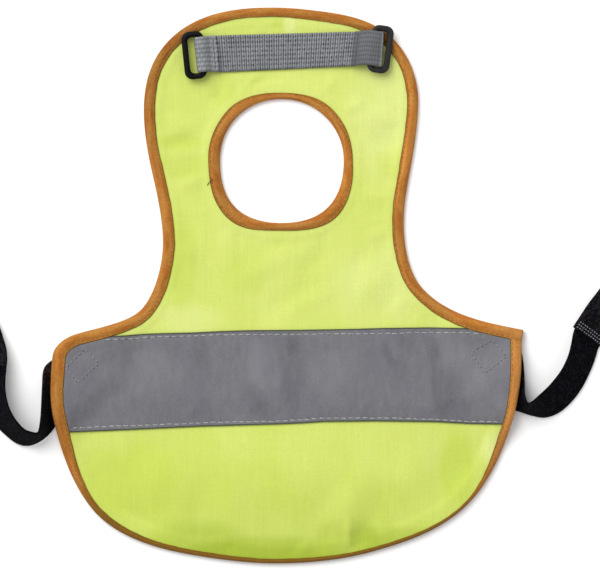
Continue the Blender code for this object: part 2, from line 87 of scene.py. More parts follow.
# Webbing, rings, straps and tabs
WEB_WIDE, WEB_THICK = 19.0, 1.2
WEB_REST = 3.2  # the height of its middle where it lies on the bib
WEB_RISE_LEFT, WEB_RISE_RIGHT = 12.0, 26.0  # from the held bars, where it starts to rise
WEB_RIB = 1.26  # from rib to rib along it
WEB_ROW = 2.46  # from row to row across it
RIB_RISE, ROW_SINK = 0.06, 0.05  # how deep its weave is
WEB_BACK = 13.2  # how much of its back shows at the left
WEB_LONG = 133.9  # along its cloth from tip to tip
WEB_SWELL = (  # how far along it, and how much wider each side is there
    (0.0, 0.35), (3.0, 0.35), (6.5, 0.0), (20.0, 0.0), (28.0, 0.45), (108.0, -0.25),
    (134.0, 0.0),
)
WEB_SCALLOP = 0.16  # how far each rib stands out at its edges
WEB_RAGGED = 0.45  # how uneven its cut end is
WEB_TURN = 9.0  # how far from a ring it bends into line with the ring
WEB_STEP, WEB_COLUMNS = 0.3, 49  # from row to row of its points, and how many there are in a row
FLAP_FLAT, FLAP_BEND, FLAP_LIFT = 2.5, 4.2, 0.5  # from its tip, where a flap starts to rise
# How far and how high the next spot of the flap is between there and the top of the fold
RISE_PART, RISE_SHIFT, RISE_SHARE = 0.45, 0.5, 0.6
FOLD_TOP = 0.6  # from the held bar's axis, where the fold's round part starts
CURVE_STEPS = 16  # from one point of a soft line to the next
FLAP_SKEW, FLAP_SLANT = 0.45, 0.75  # of the right flap's end
RING_LONG, RING_WIDE, RING_BAR = 25.8, 12.15, 3.2
RING_CORNER, RING_EDGE = 4.3, 1.15  # how far its corners and its bars' edges are rounded
WINDOW_CORNER, WINDOW_HELD_CORNER = 2.3, 0.9  # and its window's corners, by the free and held bar
SHARP_EDGE = 0.9  # edges that turn by more radians than this get rounded
LEVEL = 0.9  # a face is level if its normal stands up at least this much
PICK_LONG, PICK_PLUMB = 1.0, 0.01  # an upright edge's least height, and how far out of plumb it may be
PICK_MIDDLE, PICK_NEAR, PICK_OUTER = 0.1, 0.05, 0.5  # how near its place a face or an edge has to be
BAR_PLAY = 0.25  # between a held bar and the fold round it
SEAM_GAP = 0.3  # between pieces that are sewn together
STRAP_THICK = 1.4
TAB_THICK = 2.4
STRAP_CLEAR = 0.1  # from the surface to a strap
STRAP_PAD = STRAP_CLEAR + STRAP_THICK + SEAM_GAP  # how high a strap lifts the panel
STRAP_COLUMNS, STRAP_STEPS, TAB_STEPS = 21, 8, 12  # points across them, and between their tables' rows
RIBBON_EDGE, STRAP_EDGE, TAB_EDGE = 8.0, 10.0, 12.0  # the higher, the squarer

# Stitches: their spacing, the share of it that shows, how far they stray, and their size
StitchRow = namedtuple("StitchRow", "pitch share wander wide tall")
BAND_STITCH = StitchRow(3.9, 0.74, 0.16, 0.58, 0.34)
BAND_HOLE = StitchRow(3.9, 0.2, 0.15, 0.58, 0.18)
DIAMOND_STITCH = StitchRow(2.5, 0.64, 0.18, 0.62, 0.30)
DIAMOND_HOLE = StitchRow(2.5, 0.36, 0.18, 0.58, 0.18)
BINDING_STITCH = StitchRow(2.8, 0.72, 0.05, 0.42, 0.3)
FLAP_STITCH = StitchRow(2.2, 0.7, 0.05, 0.45, 0.3)
TAB_STITCH = StitchRow(1.7, 0.53, 0.1, 0.72, 0.34)
HOLE_ASIDE = 0.45  # from a row of stitches to its needle holes
HOLE_SHARE = 0.6  # of the band's stitches that show a hole
BINDING_SHOWN = 3.6  # the binding's stitches show where it is wider than this
BINDING_START, BINDING_STOP = 1.0, 0.6  # from the binding's ends to its first and last stitch
STITCH_LIFT = 0.02  # from the cloth to a row of stitches
TAB_ROWS = (1.0, 2.6, 4.2)  # how far the rows are from a tab's sewn end
TAB_FIRST, TAB_LAST = 3.0, 1.0  # from its sides, where the rows start and end
TAB_STITCH_LONG = 1.0
FLAP_ROW, FLAP_ROW_CLEAR = 1.8, 1.0  # from a flap's tip to its row, and from its sides to its ends
STITCH_SIDES, STITCH_SINK = 6, 0.35  # round it, and how far its ends sink, as a share of its height
STITCH_STRAY = 0.05  # how far each strays along its row, as a share of the spacing
STITCH_RAISE = 0.12  # how far its middle lies above the cloth, as a share of its height

# Loose end of thread
LOOSE_PATH = ((-39.6, 57.2, 3.9), (-40.8, 56.4, 3.8), (-41.9, 55.4, 3.0), (-42.8, 54.0, 2.75))
LOOSE_HALF, LOOSE_STEP, LOOSE_SIDES = 0.16, 0.4, 6

# Light and camera, in metres but for the camera's spot
FLOOR_SIZE = 14.0
SKY_STRENGTH = 0.70
KEY_PLACE, KEY_SIZE, KEY_POWER = (-1.5, 1.8, 2.6), 2.9, 130.0
CAMERA_HEIGHT = 4.0
CAMERA_SPOT = (7.3, -3.8)
SENSOR = 36.0
VIEW_WIDTH = 0.324
FAR_END = 60.0

# Colours
YELLOW = (0.542, 0.613, 0.150)
YELLOW_DEEP = (0.458, 0.550, 0.086)
YELLOW_PALE = (0.592, 0.651, 0.225)
YELLOW_HEM_SHADE = (0.315, 0.403, 0.038)
ORANGE_DEEP, ORANGE = (0.323, 0.113, 0.017), (0.403, 0.181, 0.038)
ORANGE_STREAK = (0.382, 0.116, 0.018)
ORANGE_HEM_SHADE = (0.189, 0.092, 0.012)
ORANGE_LIT = (0.521, 0.239, 0.071)
ORANGE_INNER_SHADE = (0.240, 0.104, 0.012)
ORANGE_LIP_SHADE = (0.190, 0.098, 0.008)
SILVER_WARM, SILVER_COOL = (0.133, 0.130, 0.149), (0.137, 0.137, 0.148)
SILVER_EDGE_SHADOW = (0.038, 0.047, 0.024)
WEBBING_GREY = (0.155, 0.162, 0.171)
ELASTIC_SEWN, ELASTIC_BLACK = (0.0125, 0.0088, 0.0080), (0.0036, 0.0033, 0.0050)
TAB_BLACK = (0.0060, 0.0053, 0.0068)
PLASTIC_LEFT, PLASTIC_RIGHT_HIGHLIGHT = (0.0022, 0.0020, 0.0024), (0.0225, 0.0218, 0.0215)
FLOOR_WHITE = (0.95, 0.95, 0.95)
THREADS = {
    "pale_grey_thread": (0.330, 0.330, 0.320),
    "grey_diamond_thread": (0.215, 0.215, 0.212),
    "orange_thread": (0.227, 0.091, 0.017),
    "grey_thread": (0.084, 0.084, 0.092),
    "black_tab_thread": (0.008, 0.008, 0.009),
    "grey_tab_thread": (0.190, 0.190, 0.205),
    "dark_thread": (0.025, 0.029, 0.017),
    "needle_hole_grey": (0.060, 0.061, 0.066),
}


def table(kind, *rows):
    """Rows whose columns have names."""
    return tuple(kind(*row) for row in rows)


# One stitch from end to end: places along its half length, and shares of its size and height
FormRow = namedtuple("FormRow", "place thick rise")
STITCH_FORM = table(
    FormRow,
    (-1.0, 0.35, 0.0),
    (-0.72, 0.9, 0.55),
    (0.0, 1.0, 1.0),
    (0.72, 0.9, 0.55),
    (1.0, 0.35, 0.0),
)

OutlineRow = namedtuple("OutlineRow", "name x y heading pull bind")
OUTLINE = table(
    OutlineRow,
    ("right shoulder corner", 127.0, -23.8, 169, 0.33, 6.3),
    ("right shoulder bend", 74.5, -2.8, 135, 0.35, 6.1),
    ("right waist", 63.3, 37.5, 88, 0.26, 6.2),
    ("right side of bib", 71.1, 98.0, 89, 0.36, 6.1),
    ("right corner of bib", 57.5, 133.2, 135, 0.34, 5.8),
    ("top of bib, right", 20.0, 147.8, 173, 0.33, 5.3),
    ("top of bib", -8.0, 150.0, 180, 0.36, 5.0),
    ("left corner of bib", -63.6, 132.1, 226, 0.35, 5.7),
    ("left side of bib", -77.0, 93.0, 271, 0.37, 6.0),
    ("left waist", -66.7, 24.0, 271, 0.35, 6.4),
    ("left shoulder bend", -78.2, -12.8, 227, 0.26, 6.2),
    ("left shoulder", -113.0, -26.1, 196, 0.34, 6.2),
    ("left shoulder round", -126.3, -39.0, 266, 0.37, 7.3),
    ("left side", -125.5, -73.0, 283, 0.33, 6.9),
    ("lower left", -104.5, -121.0, 310, 0.33, 3.7),
    ("hem, left", -52.0, -145.2, 350, 0.33, 2.7),
    ("hem, middle", -6.0, -150.0, 0, 0.32, 2.5),
    ("hem, right", 45.0, -144.0, 15, 0.33, 2.2),
    ("lower right", 96.0, -119.8, 43, 0.34, 1.7),
    ("right side", 120.8, -76.4, 72, 0.33, 4.8),
    ("right side, upper", 126.6, -41.0, 89, 0.33, 5.9),
    ("right shoulder corner", 127.0, -23.8, 90, 0.33, 6.3),
)
NECK = table(
    OutlineRow,
    ("right", 30.9, 67.2, 270, 0.38, 4.9),
    ("lower right", 22.3, 42.1, 225, 0.32, 6.9),
    ("bottom", -2.7, 33.7, 180, 0.38, 4.1),
    ("lower left", -27.7, 42.2, 135, 0.32, 7.1),
    ("left", -35.9, 67.2, 90, 0.37, 6.3),
    ("upper left", -26.6, 91.0, 45, 0.34, 6.2),
    ("top", -2.7, 100.6, 0, 0.36, 3.4),
    ("upper right", 21.0, 91.0, 315, 0.34, 5.5),
    ("right", 30.9, 67.2, 270, 0.38, 4.9),
)

# The band's two long edges: x, and y there
TAPE_TOP = (
    (-130.0, -28.8), (-95.0, -27.3), (-86.0, -26.8), (-76.0, -26.0), (-67.0, -25.7),
    (-50.0, -25.3), (-36.0, -24.6), (-20.0, -24.1), (8.0, -23.9), (37.0, -23.4), (53.0, -22.9),
    (77.0, -22.6), (94.0, -22.9), (104.0, -23.3), (130.0, -24.0),
)
TAPE_BOTTOM = (
    (-130.0, -79.8), (-95.0, -78.4), (-46.0, -76.1), (-4.0, -74.9), (8.0, -74.4), (20.0, -73.6),
    (48.0, -73.3), (80.0, -73.7), (100.0, -74.8), (130.0, -75.2),
)
BAND_SEAM_TOP = (  # x, and how far up from the band's top edge
    (-100.0, -1.8), (-76.0, -2.1), (-36.0, -2.0), (-18.0, -2.4), (12.0, -2.4), (30.0, -2.5),
    (53.0, -3.0), (77.0, -2.8), (94.0, -2.4), (108.5, -2.9),
)
BAND_SEAM_BOTTOM = (  # and from its bottom edge
    (-117.0, 2.2), (-95.0, 2.5), (-76.0, 2.2), (-58.0, 1.9), (-32.0, 2.1), (-12.0, 1.65),
    (4.0, 2.0), (60.0, 1.8), (78.0, 1.45), (94.0, 1.3), (106.0, 1.6),
)
BAND_SEAMS = ((TAPE_TOP, BAND_SEAM_TOP), (TAPE_BOTTOM, BAND_SEAM_BOTTOM))
DIAMOND_LEFT = ((-108.8, -33.8), (-101.5, -41.9), (-112.9, -52.1), (-119.1, -44.0), (-108.8, -33.8))
DIAMOND_RIGHT = ((99.3, -35.7), (110.6, -29.0), (118.4, -37.8), (106.5, -47.1), (99.3, -35.7))

PadRow = namedtuple("PadRow", "name x y to_x to_y full none height")
PADS = table(
    PadRow,
    ("left strap", -103.8, -36.8, -124.5, -55.4, 13.0, 25.0, STRAP_PAD),
    ("left edge on curl", -126.0, -58.0, -126.0, -64.0, 4.0, 28.0, 3.6),
    ("right strap", 102.6, -30.6, 122.8, -53.2, 13.0, 25.0, STRAP_PAD),
    ("right edge on curl", 124.5, -54.0, 124.0, -64.0, 5.0, 28.0, 6.3),
)
HumpRow = namedtuple("HumpRow", "name x y heading half_long half_wide height")
HUMPS = table(
    HumpRow,
    ("lower lobe", -6.0, -106.0, 0, 98.0, 40.0, 3.2),
    ("fold beside the hem", 34.0, -120.0, 60, 34.0, 15.0, 1.6),
    ("fold at lower left", -62.0, -112.0, 120, 34.0, 16.0, 1.2),
)

# Creases placed one by one: soft ridges, and troughs where the height is below 0. Each swells from
# its two ends to its middle, and bow bends it sideways there.
CreaseRow = namedtuple("CreaseRow", "name x y to_x to_y half_wide height bow")
CREASES = table(
    CreaseRow,
    ("above the neck, pulled down", -46.0, 92.0, -31.0, 109.0, 2.8, -0.45, 1.0),
    ("beside it", -40.0, 91.0, -23.0, 113.0, 3.4, 0.25, 1.5),
    ("above the neck, second", -30.0, 101.0, -14.0, 115.0, 2.2, 0.66, -0.8),
    ("above the neck, third", -24.0, 101.0, -8.0, 114.0, 1.8, -0.56, 0.5),
    ("above the neck, middle", -4.0, 103.0, 4.0, 116.0, 2.2, 0.48, 0.4),
    ("above the neck, right", 16.0, 101.0, 27.0, 114.0, 2.4, 0.56, -0.8),
    ("above the neck, far right", 27.0, 92.0, 44.0, 103.0, 3.0, 0.64, -1.2),
    ("left of the neck", -70.0, 75.0, -42.0, 79.0, 4.6, -0.80, 1.5),
    ("left of the neck, over it", -68.0, 82.0, -44.0, 86.0, 4.5, 0.64, 1.0),
    ("left of the neck, low", -62.0, 52.0, -42.0, 60.0, 3.6, 0.56, -1.0),
    ("right of the neck", 40.0, 82.0, 66.0, 70.0, 6.0, -0.96, 2.0),
    ("right of the neck, over it", 40.0, 94.0, 64.0, 86.0, 5.0, 0.72, 1.5),
    ("right of the neck, low", 38.0, 52.0, 60.0, 46.0, 4.0, 0.64, -1.5),
    ("under the neck", -4.6, 31.0, -3.4, 16.0, 1.6, -0.56, 0.3),
    ("under the neck, left", -27.5, 33.0, -24.0, 17.0, 1.8, -0.64, -0.4),
    ("under the neck, right", 17.5, 31.0, 20.5, 17.0, 1.7, -0.56, 0.4),
    ("under the neck, broad", 26.0, 26.0, 4.0, 4.0, 5.0, -0.70, 2.0),
    ("chest, slanting ridge", -38.0, -6.0, 20.0, 24.0, 6.0, 0.75, 2.0),
    ("chest, slanting trough", -24.0, -20.0, 28.0, 10.0, 7.0, -0.70, -2.0),
    ("chest, low ridge", -8.0, -22.0, 34.0, 2.0, 5.0, 0.50, 1.5),
    ("chest, left trough", -50.0, 24.0, -34.0, -20.0, 6.0, -0.60, 2.0),
    ("chest, right ridge", 34.0, -16.0, 60.0, 14.0, 6.0, 0.75, 2.0),
    ("chest, right trough", 46.0, -20.0, 66.0, -2.0, 4.0, -0.55, 1.0),
    ("chest, under the right bend", 30.0, 4.0, 52.0, 30.0, 5.0, -0.55, -1.5),
    ("left waist, drawn in", -62.0, 22.0, -46.0, 12.0, 3.4, 0.56, 1.0),
    ("right waist, drawn in", 58.0, 30.0, 42.0, 24.0, 3.6, 0.56, -1.0),
    ("left shoulder, drawn in", -70.0, -6.0, -50.0, -12.0, 3.2, 0.48, 0.8),
    ("right shoulder, drawn in", 70.0, -4.0, 52.0, -14.0, 3.4, 0.48, 0.8),
    ("under the webbing, left", -30.0, 112.0, -8.0, 113.5, 2.2, 0.35, 0.5),
    ("under the webbing, right", 6.0, 113.0, 34.0, 115.0, 2.4, -0.35, 0.5),
    ("above the webbing, left", -13.0, 143.0, -14.0, 136.0, 2.2, 0.45, 0.2),
    ("above the webbing, middle", -5.0, 143.5, -6.0, 136.5, 2.0, -0.40, 0.2),
    ("above the webbing, right", 2.5, 143.0, 2.0, 137.0, 2.4, 0.45, 0.2),
    ("lobe, right hollow", 84.0, -84.0, 88.0, -116.0, 9.0, -1.10, 2.0),
    ("lobe, right swell", 64.0, -84.0, 68.0, -118.0, 9.0, 0.80, 2.0),
    ("lobe, small slant", -26.0, -86.0, -18.0, -92.5, 1.4, -0.48, 0.3),
    ("lobe, small slant beside", -24.0, -84.0, -15.0, -91.0, 1.4, 0.40, 0.3),
    ("lobe, left swell", -66.0, -88.0, -72.0, -122.0, 8.0, 0.80, -2.0),
    ("lobe, left hollow", -40.0, -96.0, -48.0, -134.0, 7.0, -0.72, -2.0),
    ("lobe, lower left rim", -98.0, -112.0, -66.0, -134.0, 5.0, -0.72, -3.0),
    ("lobe, middle swell", 10.0, -86.0, 14.0, -122.0, 8.0, 0.64, 1.0),
)
# These run on to the binding's stitching
HEM_CREASES = table(
    CreaseRow,
    ("dent", 39.2, -124.0, 42.5, -148.0, 4.6, -1.25, 0.4),
    ("ridge by the dent", 33.6, -121.0, 32.6, -149.0, 2.2, 1.20, 0.3),
    ("hollow left of it", 23.0, -126.0, 18.0, -149.0, 3.8, -0.65, 0.5),
    ("right of the dent", 51.0, -122.0, 53.0, -144.0, 5.0, 0.45, -1.0),
    ("fold at the middle", 8.0, -134.0, 0.0, -149.0, 2.6, -0.60, 0.4),
    ("beside it", 12.0, -135.0, 8.0, -148.5, 2.0, 0.45, 0.4),
    ("left fold", -28.0, -136.0, -34.0, -148.0, 3.0, -0.40, 0.4),
)
TAPE_CREASES = table(
    CreaseRow,
    ("bright swell", -15.0, -28.0, -13.0, -72.0, 4.0, 1.19, 1.0),
    ("dark line by it", -5.0, -26.0, -2.5, -73.0, 2.8, -1.06, 0.8),
    ("middle swell", 26.0, -30.0, 34.0, -72.0, 8.0, 0.94, 1.0),
    ("right dent", 56.0, -26.0, 59.5, -46.0, 2.4, -1.06, 0.5),
    ("right dent, second", 75.0, -27.0, 77.5, -58.0, 2.8, -1.12, 0.8),
    ("right swell", 85.0, -32.0, 87.0, -64.0, 3.4, 1.00, 0.5),
    ("left corner", -113.0, -62.0, -104.0, -77.0, 2.4, -0.70, 0.8),
    ("left corner swell", -107.0, -62.0, -98.0, -77.0, 3.0, 0.60, 0.8),
    ("by the left diamond", -98.0, -30.0, -90.0, -43.0, 2.2, -0.94, 0.6),
    ("by the left diamond, ridge", -93.0, -29.0, -84.0, -44.0, 2.4, 0.94, 0.6),
    ("left slant", -76.0, -34.0, -58.0, -66.0, 4.5, 0.81, -1.5),
    ("left slant, trough", -60.0, -30.0, -44.0, -64.0, 4.5, -0.75, -1.5),
    ("by the right diamond", 94.0, -28.0, 96.0, -60.0, 2.4, -0.94, 0.8),
    ("small, by the top row", -30.0, -28.5, -26.0, -37.0, 1.6, 0.75, 0.3),
    ("small, by the top row, middle", 14.0, -28.0, 17.0, -36.0, 1.5, -0.62, 0.3),
    ("small, by the top row, right", 48.0, -26.5, 55.0, -40.0, 1.8, 0.81, 0.4),
    ("small, by the bottom row", -52.0, -73.0, -49.0, -63.0, 1.8, 0.62, 0.3),
    ("small, by the bottom row, middle", -10.0, -73.0, -7.0, -60.0, 2.2, -0.75, 0.4),
    ("small, by the bottom row, right", 40.0, -71.0, 43.0, -61.0, 1.6, 0.62, 0.3),
    ("small, by the bottom row, far right", 66.0, -71.0, 70.0, -60.0, 2.0, -0.69, 0.4),
)

# Patches of the panel that are deeper (above 0) or paler (below 0) than the rest of it: partly painted
# light and shade, such as the paler right of the bib and the bright streak above the webbing, and partly
# uneven tone
ToneRow = namedtuple("ToneRow", "name x y half_x half_y amount")
TONES = table(
    ToneRow,
    ("right of the bib", 52.0, 96.0, 24.0, 56.0, -0.70),
    ("right waist", 50.0, 0.0, 30.0, 30.0, -0.55),
    ("left of the bib", -56.0, 102.0, 26.0, 34.0, 0.35),
    ("left of the chest", -58.0, 14.0, 12.0, 36.0, 0.50),
    ("above the left shoulder", -54.0, -18.0, 26.0, 11.0, -0.50),
    ("left of the neck", -58.0, 77.0, 18.0, 6.0, 0.65),
    ("left of the neck, low", -58.0, 65.0, 16.0, 10.0, 0.55),
    ("right of the neck, low", 58.0, 66.0, 12.0, 12.0, 0.55),
    ("above the neck, left", -34.0, 105.0, 9.0, 12.0, 0.50),
    ("middle of the chest", -22.0, 10.0, 18.0, 20.0, 0.40),
    ("top, bright", 2.0, 141.0, 4.0, 10.0, -0.90),
    ("top, deep", -5.0, 141.0, 3.5, 9.0, 0.50),
    ("right of the lobe", 92.0, -97.0, 12.0, 26.0, 0.75),
    ("upper right of the lobe", 56.0, -88.0, 38.0, 22.0, -0.30),
    ("left of the lobe", -88.0, -104.0, 34.0, 26.0, 0.45),
    ("right end of the lobe", 112.0, -88.0, 9.0, 14.0, -1.20),
)
# Painted shade along the hem, where the cloth slopes away from the light, and in the dent by it and the
# hollow left of the dent
HEM_SHADES = table(
    ToneRow,
    ("middle of the hem", -8.0, -148.0, 60.0, 15.0, 0.85),
    ("left of the hem", -46.0, -138.0, 32.0, 14.0, 0.46),
    ("right of the hem", 60.0, -137.0, 38.0, 9.0, 0.45),
    ("in the dent", 42.0, -137.0, 10.0, 12.0, 0.40),
    ("left of the dent", 25.0, -134.0, 12.0, 11.0, 0.22),
)

# Painted light and shade on the binding, as shares of its brightness: its lit and shaded sides by the neck,
# the shadow in the right ring's window and by the left ring, paler on the right and darker towards the
# lower right
BINDING_LIGHT_AND_SHADE = table(
    ToneRow,
    ("right shoulder", 102.0, -20.0, 16.0, 12.0, 0.20),
    ("right waist", 63.0, 24.0, 16.0, 40.0, -0.07),
    ("left shoulder", -125.0, -54.0, 10.0, 20.0, -0.07),
    ("inside the right ring", 53.5, 130.0, 5.0, 10.0, -0.55),
    ("left corner of bib", -62.0, 128.0, 24.0, 28.0, -0.26),
    ("lower right", 110.0, -94.0, 14.0, 18.0, -0.18),
    ("right side", 120.5, -66.0, 8.0, 14.0, 0.10),
    ("right of the neck", 36.0, 60.0, 14.0, 34.0, 0.16),
    ("left of the neck", -38.0, 64.0, 22.0, 46.0, -0.17),
    ("left side of bib", -75.0, 94.0, 14.0, 30.0, -0.15),
)

# Where a painted highlight runs along the inner side of the binding's roll
RIDGE_HIGHLIGHTS = table(
    ToneRow,
    ("right side of bib", 66.0, 74.0, 12.0, 66.0, 0.34),
    ("right waist", 66.0, 10.0, 12.0, 22.0, 0.18),
    ("left of the neck", -38.0, 68.0, 12.0, 36.0, 0.22),
)

# Painted light and shade on the reflective band over its creases and folds, as shares of its brightness
BAND_LIGHT_AND_SHADE = table(
    ToneRow,
    ("bright patch", -12.0, -44.0, 10.0, 19.0, 0.13),
    ("bright patch, lower end", -8.0, -56.0, 8.0, 15.0, 0.09),
    ("bright patch, upper left", -19.0, -38.0, 9.0, 14.0, 0.07),
    ("deep corner under it", -17.5, -60.0, 7.5, 10.0, -0.12),
    ("deep corner, lower", -12.0, -68.0, 10.0, 7.0, -0.13),
    ("deep fold right of it", 3.5, -46.7, 8.0, 30.0, -0.11),
    ("top of the fold", 3.5, -31.6, 6.0, 8.0, -0.12),
    ("fold, lower end", -1.0, -64.0, 7.0, 13.0, -0.08),
    ("pale middle", 28.0, -46.5, 26.0, 14.0, 0.07),
    ("dent", 57.5, -38.5, 7.0, 6.0, -0.10),
    ("dent, lower", 62.0, -46.5, 8.0, 7.0, -0.07),
    ("pale slant by the dent", 59.5, -36.5, 4.0, 5.0, 0.10),
    ("deep, by the top seam", 65.0, -31.0, 6.0, 7.0, -0.10),
    ("deep line, top", 79.0, -33.5, 4.5, 8.0, -0.13),
    ("deep line", 81.0, -45.0, 4.5, 20.0, -0.13),
    ("foot of the line", 84.0, -60.0, 9.0, 17.0, -0.11),
    ("foot of the line, right", 91.0, -68.0, 16.0, 9.0, -0.12),
    ("pale slant", 92.0, -39.0, 9.0, 13.0, 0.12),
    ("pale slant, lower end", 101.0, -52.0, 9.0, 12.0, 0.11),
    ("pale left corner", -114.0, -58.0, 10.0, 12.0, 0.05),
    ("line in the left corner", -105.5, -67.0, 5.0, 10.0, -0.08),
    ("by the left diamond", -92.0, -38.0, 10.0, 8.0, -0.12),
    ("slant by the left diamond", -84.0, -32.0, 10.0, 6.0, -0.10),
    ("pale left", -74.0, -45.7, 26.0, 16.0, 0.07),
    ("along the left of the hem seam", -60.0, -68.0, 50.0, 10.0, -0.07),
    ("small, by the top seam", -46.7, -33.0, 6.0, 9.0, -0.11),
    ("small, lower", -44.5, -42.0, 6.0, 9.0, -0.07),
    ("along the right of the hem seam", 46.0, -69.5, 40.0, 8.0, -0.08),
)

# Least and most of each measure of the small creases along the two bound edges
PuckerRow = namedtuple("PuckerRow", "gap reach height half_wide slant bow")
OUTER_PUCKERS = PuckerRow((8, 21), (9, 22), (0.08, 0.26), (1.2, 2.8), (-4, 4), (-0.6, 0.6))
NECK_PUCKERS = PuckerRow((6, 14), (8, 20), (0.10, 0.30), (1.2, 2.8), (-4, 4), (-0.6, 0.6))
PUCKER_HIDDEN = 0.5  # how far each starts under the binding

# A strap row by row from its sewn end: its two edges in plan, how high its upper edge stands, and
# how late it bends up to it
StrapRow = namedtuple("StrapRow", "name lower_x lower_y upper_x upper_y rise bend")
STRAP_LEFT = table(
    StrapRow,
    ("sewn end", -97.1, -44.2, -110.5, -29.4, 0.0, 1.0),
    ("stitching", -104.5, -50.0, -117.4, -34.8, 0.0, 1.0),
    ("under the edge", -112.6, -55.0, -124.8, -39.2, 0.0, 1.0),
    ("clear of the edge", -119.0, -60.4, -130.9, -44.6, 0.0, 1.5),
    ("curling", -122.6, -70.0, -131.8, -55.4, 8.4, 1.6),
    ("rising", -125.6, -77.2, -131.9, -65.2, 14.4, 1.4),
    ("on edge", -129.2, -81.4, -132.3, -73.6, 18.0, 1.1),
    ("tightest turn", -134.2, -84.7, -133.4, -78.8, 18.9, 1.0),
    ("leaving the turn", -139.8, -86.5, -136.9, -78.7, 18.2, 1.0),
    ("opening", -145.7, -85.3, -141.2, -76.8, 17.5, 1.0),
    ("sweeping up", -152.0, -80.6, -145.8, -71.6, 16.7, 1.0),
    ("leaning back", -157.8, -74.4, -149.1, -65.2, 15.4, 1.0),
    ("broad curve", -162.4, -66.6, -150.9, -57.9, 13.8, 1.0),
    ("straightening", -165.8, -57.4, -151.2, -50.6, 12.0, 1.0),
    ("at the tab", -167.8, -48.3, -150.7, -44.0, 9.8, 1.0),
    ("within the tab", -169.2, -44.8, -151.2, -40.6, 9.6, 1.0),
)
STRAP_RIGHT = table(
    StrapRow,
    ("sewn end", 96.3, -38.2, 111.2, -25.2, 0.0, 1.0),
    ("stitching", 103.6, -42.8, 118.5, -29.7, 0.0, 1.0),
    ("under the edge", 111.0, -47.8, 126.0, -34.6, 0.0, 1.0),
    ("clear of the edge", 113.4, -54.4, 127.9, -41.2, 0.0, 2.2),
    ("curling", 116.0, -62.8, 128.4, -50.4, 5.2, 2.8),
    ("rising", 120.4, -66.9, 128.5, -58.9, 15.0, 2.5),
    ("tightest turn", 126.8, -68.4, 129.9, -63.1, 18.9, 1.3),
    ("leaving the turn", 133.1, -70.4, 132.2, -62.2, 18.2, 1.0),
    ("opening", 139.8, -71.4, 134.6, -60.0, 15.6, 1.0),
    ("sweeping up", 147.4, -68.6, 138.7, -56.4, 13.4, 1.0),
    ("broad curve", 154.4, -62.4, 143.2, -51.7, 12.7, 1.0),
    ("leaning back", 160.1, -54.5, 147.9, -45.4, 12.7, 1.0),
    ("straightening", 164.9, -44.5, 151.4, -38.1, 12.6, 1.0),
    ("narrow stretch", 167.2, -38.0, 153.2, -31.4, 11.8, 1.0),
    ("at the tab", 168.6, -33.4, 154.4, -25.4, 10.6, 1.0),
    ("within the tab", 171.4, -31.0, 156.3, -20.6, 9.8, 1.0),
)
TAB_LEFT = table(
    StrapRow,
    ("sewn end", -169.5, -47.4, -150.4, -43.0, 10.6, 1.0),
    ("leaning", -170.9, -40.0, -150.6, -35.6, 7.6, 1.0),
    ("settling", -174.4, -31.0, -153.3, -26.2, 3.6, 1.0),
    ("flat", -179.2, -19.0, -158.0, -13.2, 0.0, 1.0),
    ("free end", -188.9, 11.6, -167.7, 17.4, 0.0, 1.0),
)
TAB_RIGHT = table(
    StrapRow,
    ("sewn end", 170.2, -33.2, 154.3, -22.2, 10.4, 1.0),
    ("leaning", 179.8, -21.4, 162.6, -9.8, 7.0, 1.0),
    ("settling", 187.1, -13.5, 169.3, -1.2, 3.6, 1.0),
    ("flat", 196.8, -0.2, 178.9, 12.5, 0.0, 1.0),
    ("free end", 208.6, 16.6, 190.7, 29.3, 0.0, 1.0),
)

# A ring by its held bar, which the webbing's fold goes round: its middle and height, the ring's
# turn in plan and how far it leans down, and the sizes of the fold and the flap
RingRow = namedtuple("RingRow", "name x y bar_z lean drop fold_reach flap web_z")
RING_LEFT = RingRow("ring_left", -45.3, 124.6, 5.9, 6.0, 0.0, 3.8, 12.0, 3.5)
RING_RIGHT = RingRow("ring_right", 46.3, 128.0, 7.2, -8.0, 1.5, 5.4, 15.7, 4.8)
WEB_START = np.array((RING_LEFT.x, RING_LEFT.y))
WEB_END = np.array((RING_RIGHT.x, RING_RIGHT.y))
WEB_SPAN = float(np.linalg.norm(WEB_END - WEB_START))

# The folded binding's section from its lower inner edge round to its inside again. A corner's
# reach in from the edge is its fixed part and its share of the width that shows on top.
SectionRow = namedtuple("SectionRow", "name fixed share height")
SECTION = table(
    SectionRow,
    ("under, inner edge", 7.0, 0.0, 0.25),
    ("under, lip", 6.6, 0.0, 0.02),
    ("under", 4.4, 0.0, 0.0),
    ("under, outer", 2.0, 0.0, 0.0),
    ("lower round", 1.0, 0.0, 0.14),
    ("lower side", 0.36, 0.0, 0.55),
    ("side", 0.05, 0.0, 1.25),
    ("side, upper", 0.0, 0.0, 2.1),
    ("upper round", 0.08, 0.015, 2.75),
    ("shoulder", 0.12, 0.07, 3.18),
    ("top, outer", 0.1, 0.18, 3.56),
    ("top", 0.0, 0.34, 3.86),
    ("top, middle", 0.0, 0.5, 3.94),
    ("top, inner", 0.0, 0.64, 3.78),
    ("by the stitching", 0.0, 0.75, 3.42),
    ("stitching", 0.0, 0.82, 3.18),
    ("past the stitching", 0.0, 0.88, 3.26),
    ("lip", 0.0, 0.95, 3.18),
    ("lip, edge", 0.0, 1.0, 2.95),
    ("lip, under", 0.0, 0.985, 2.72),
    ("inside, top", 0.0, 0.55, 2.7),
    ("inside, side", 0.9, 0.0, 2.4),
    ("inside, low", 0.9, 0.0, 1.4),
    ("inside, bottom", 2.0, 0.0, 1.02),
    ("inside, inner edge", 7.0, 0.0, 1.0),
)
SECTION_SHOWN = 6.0  # its typical width on top
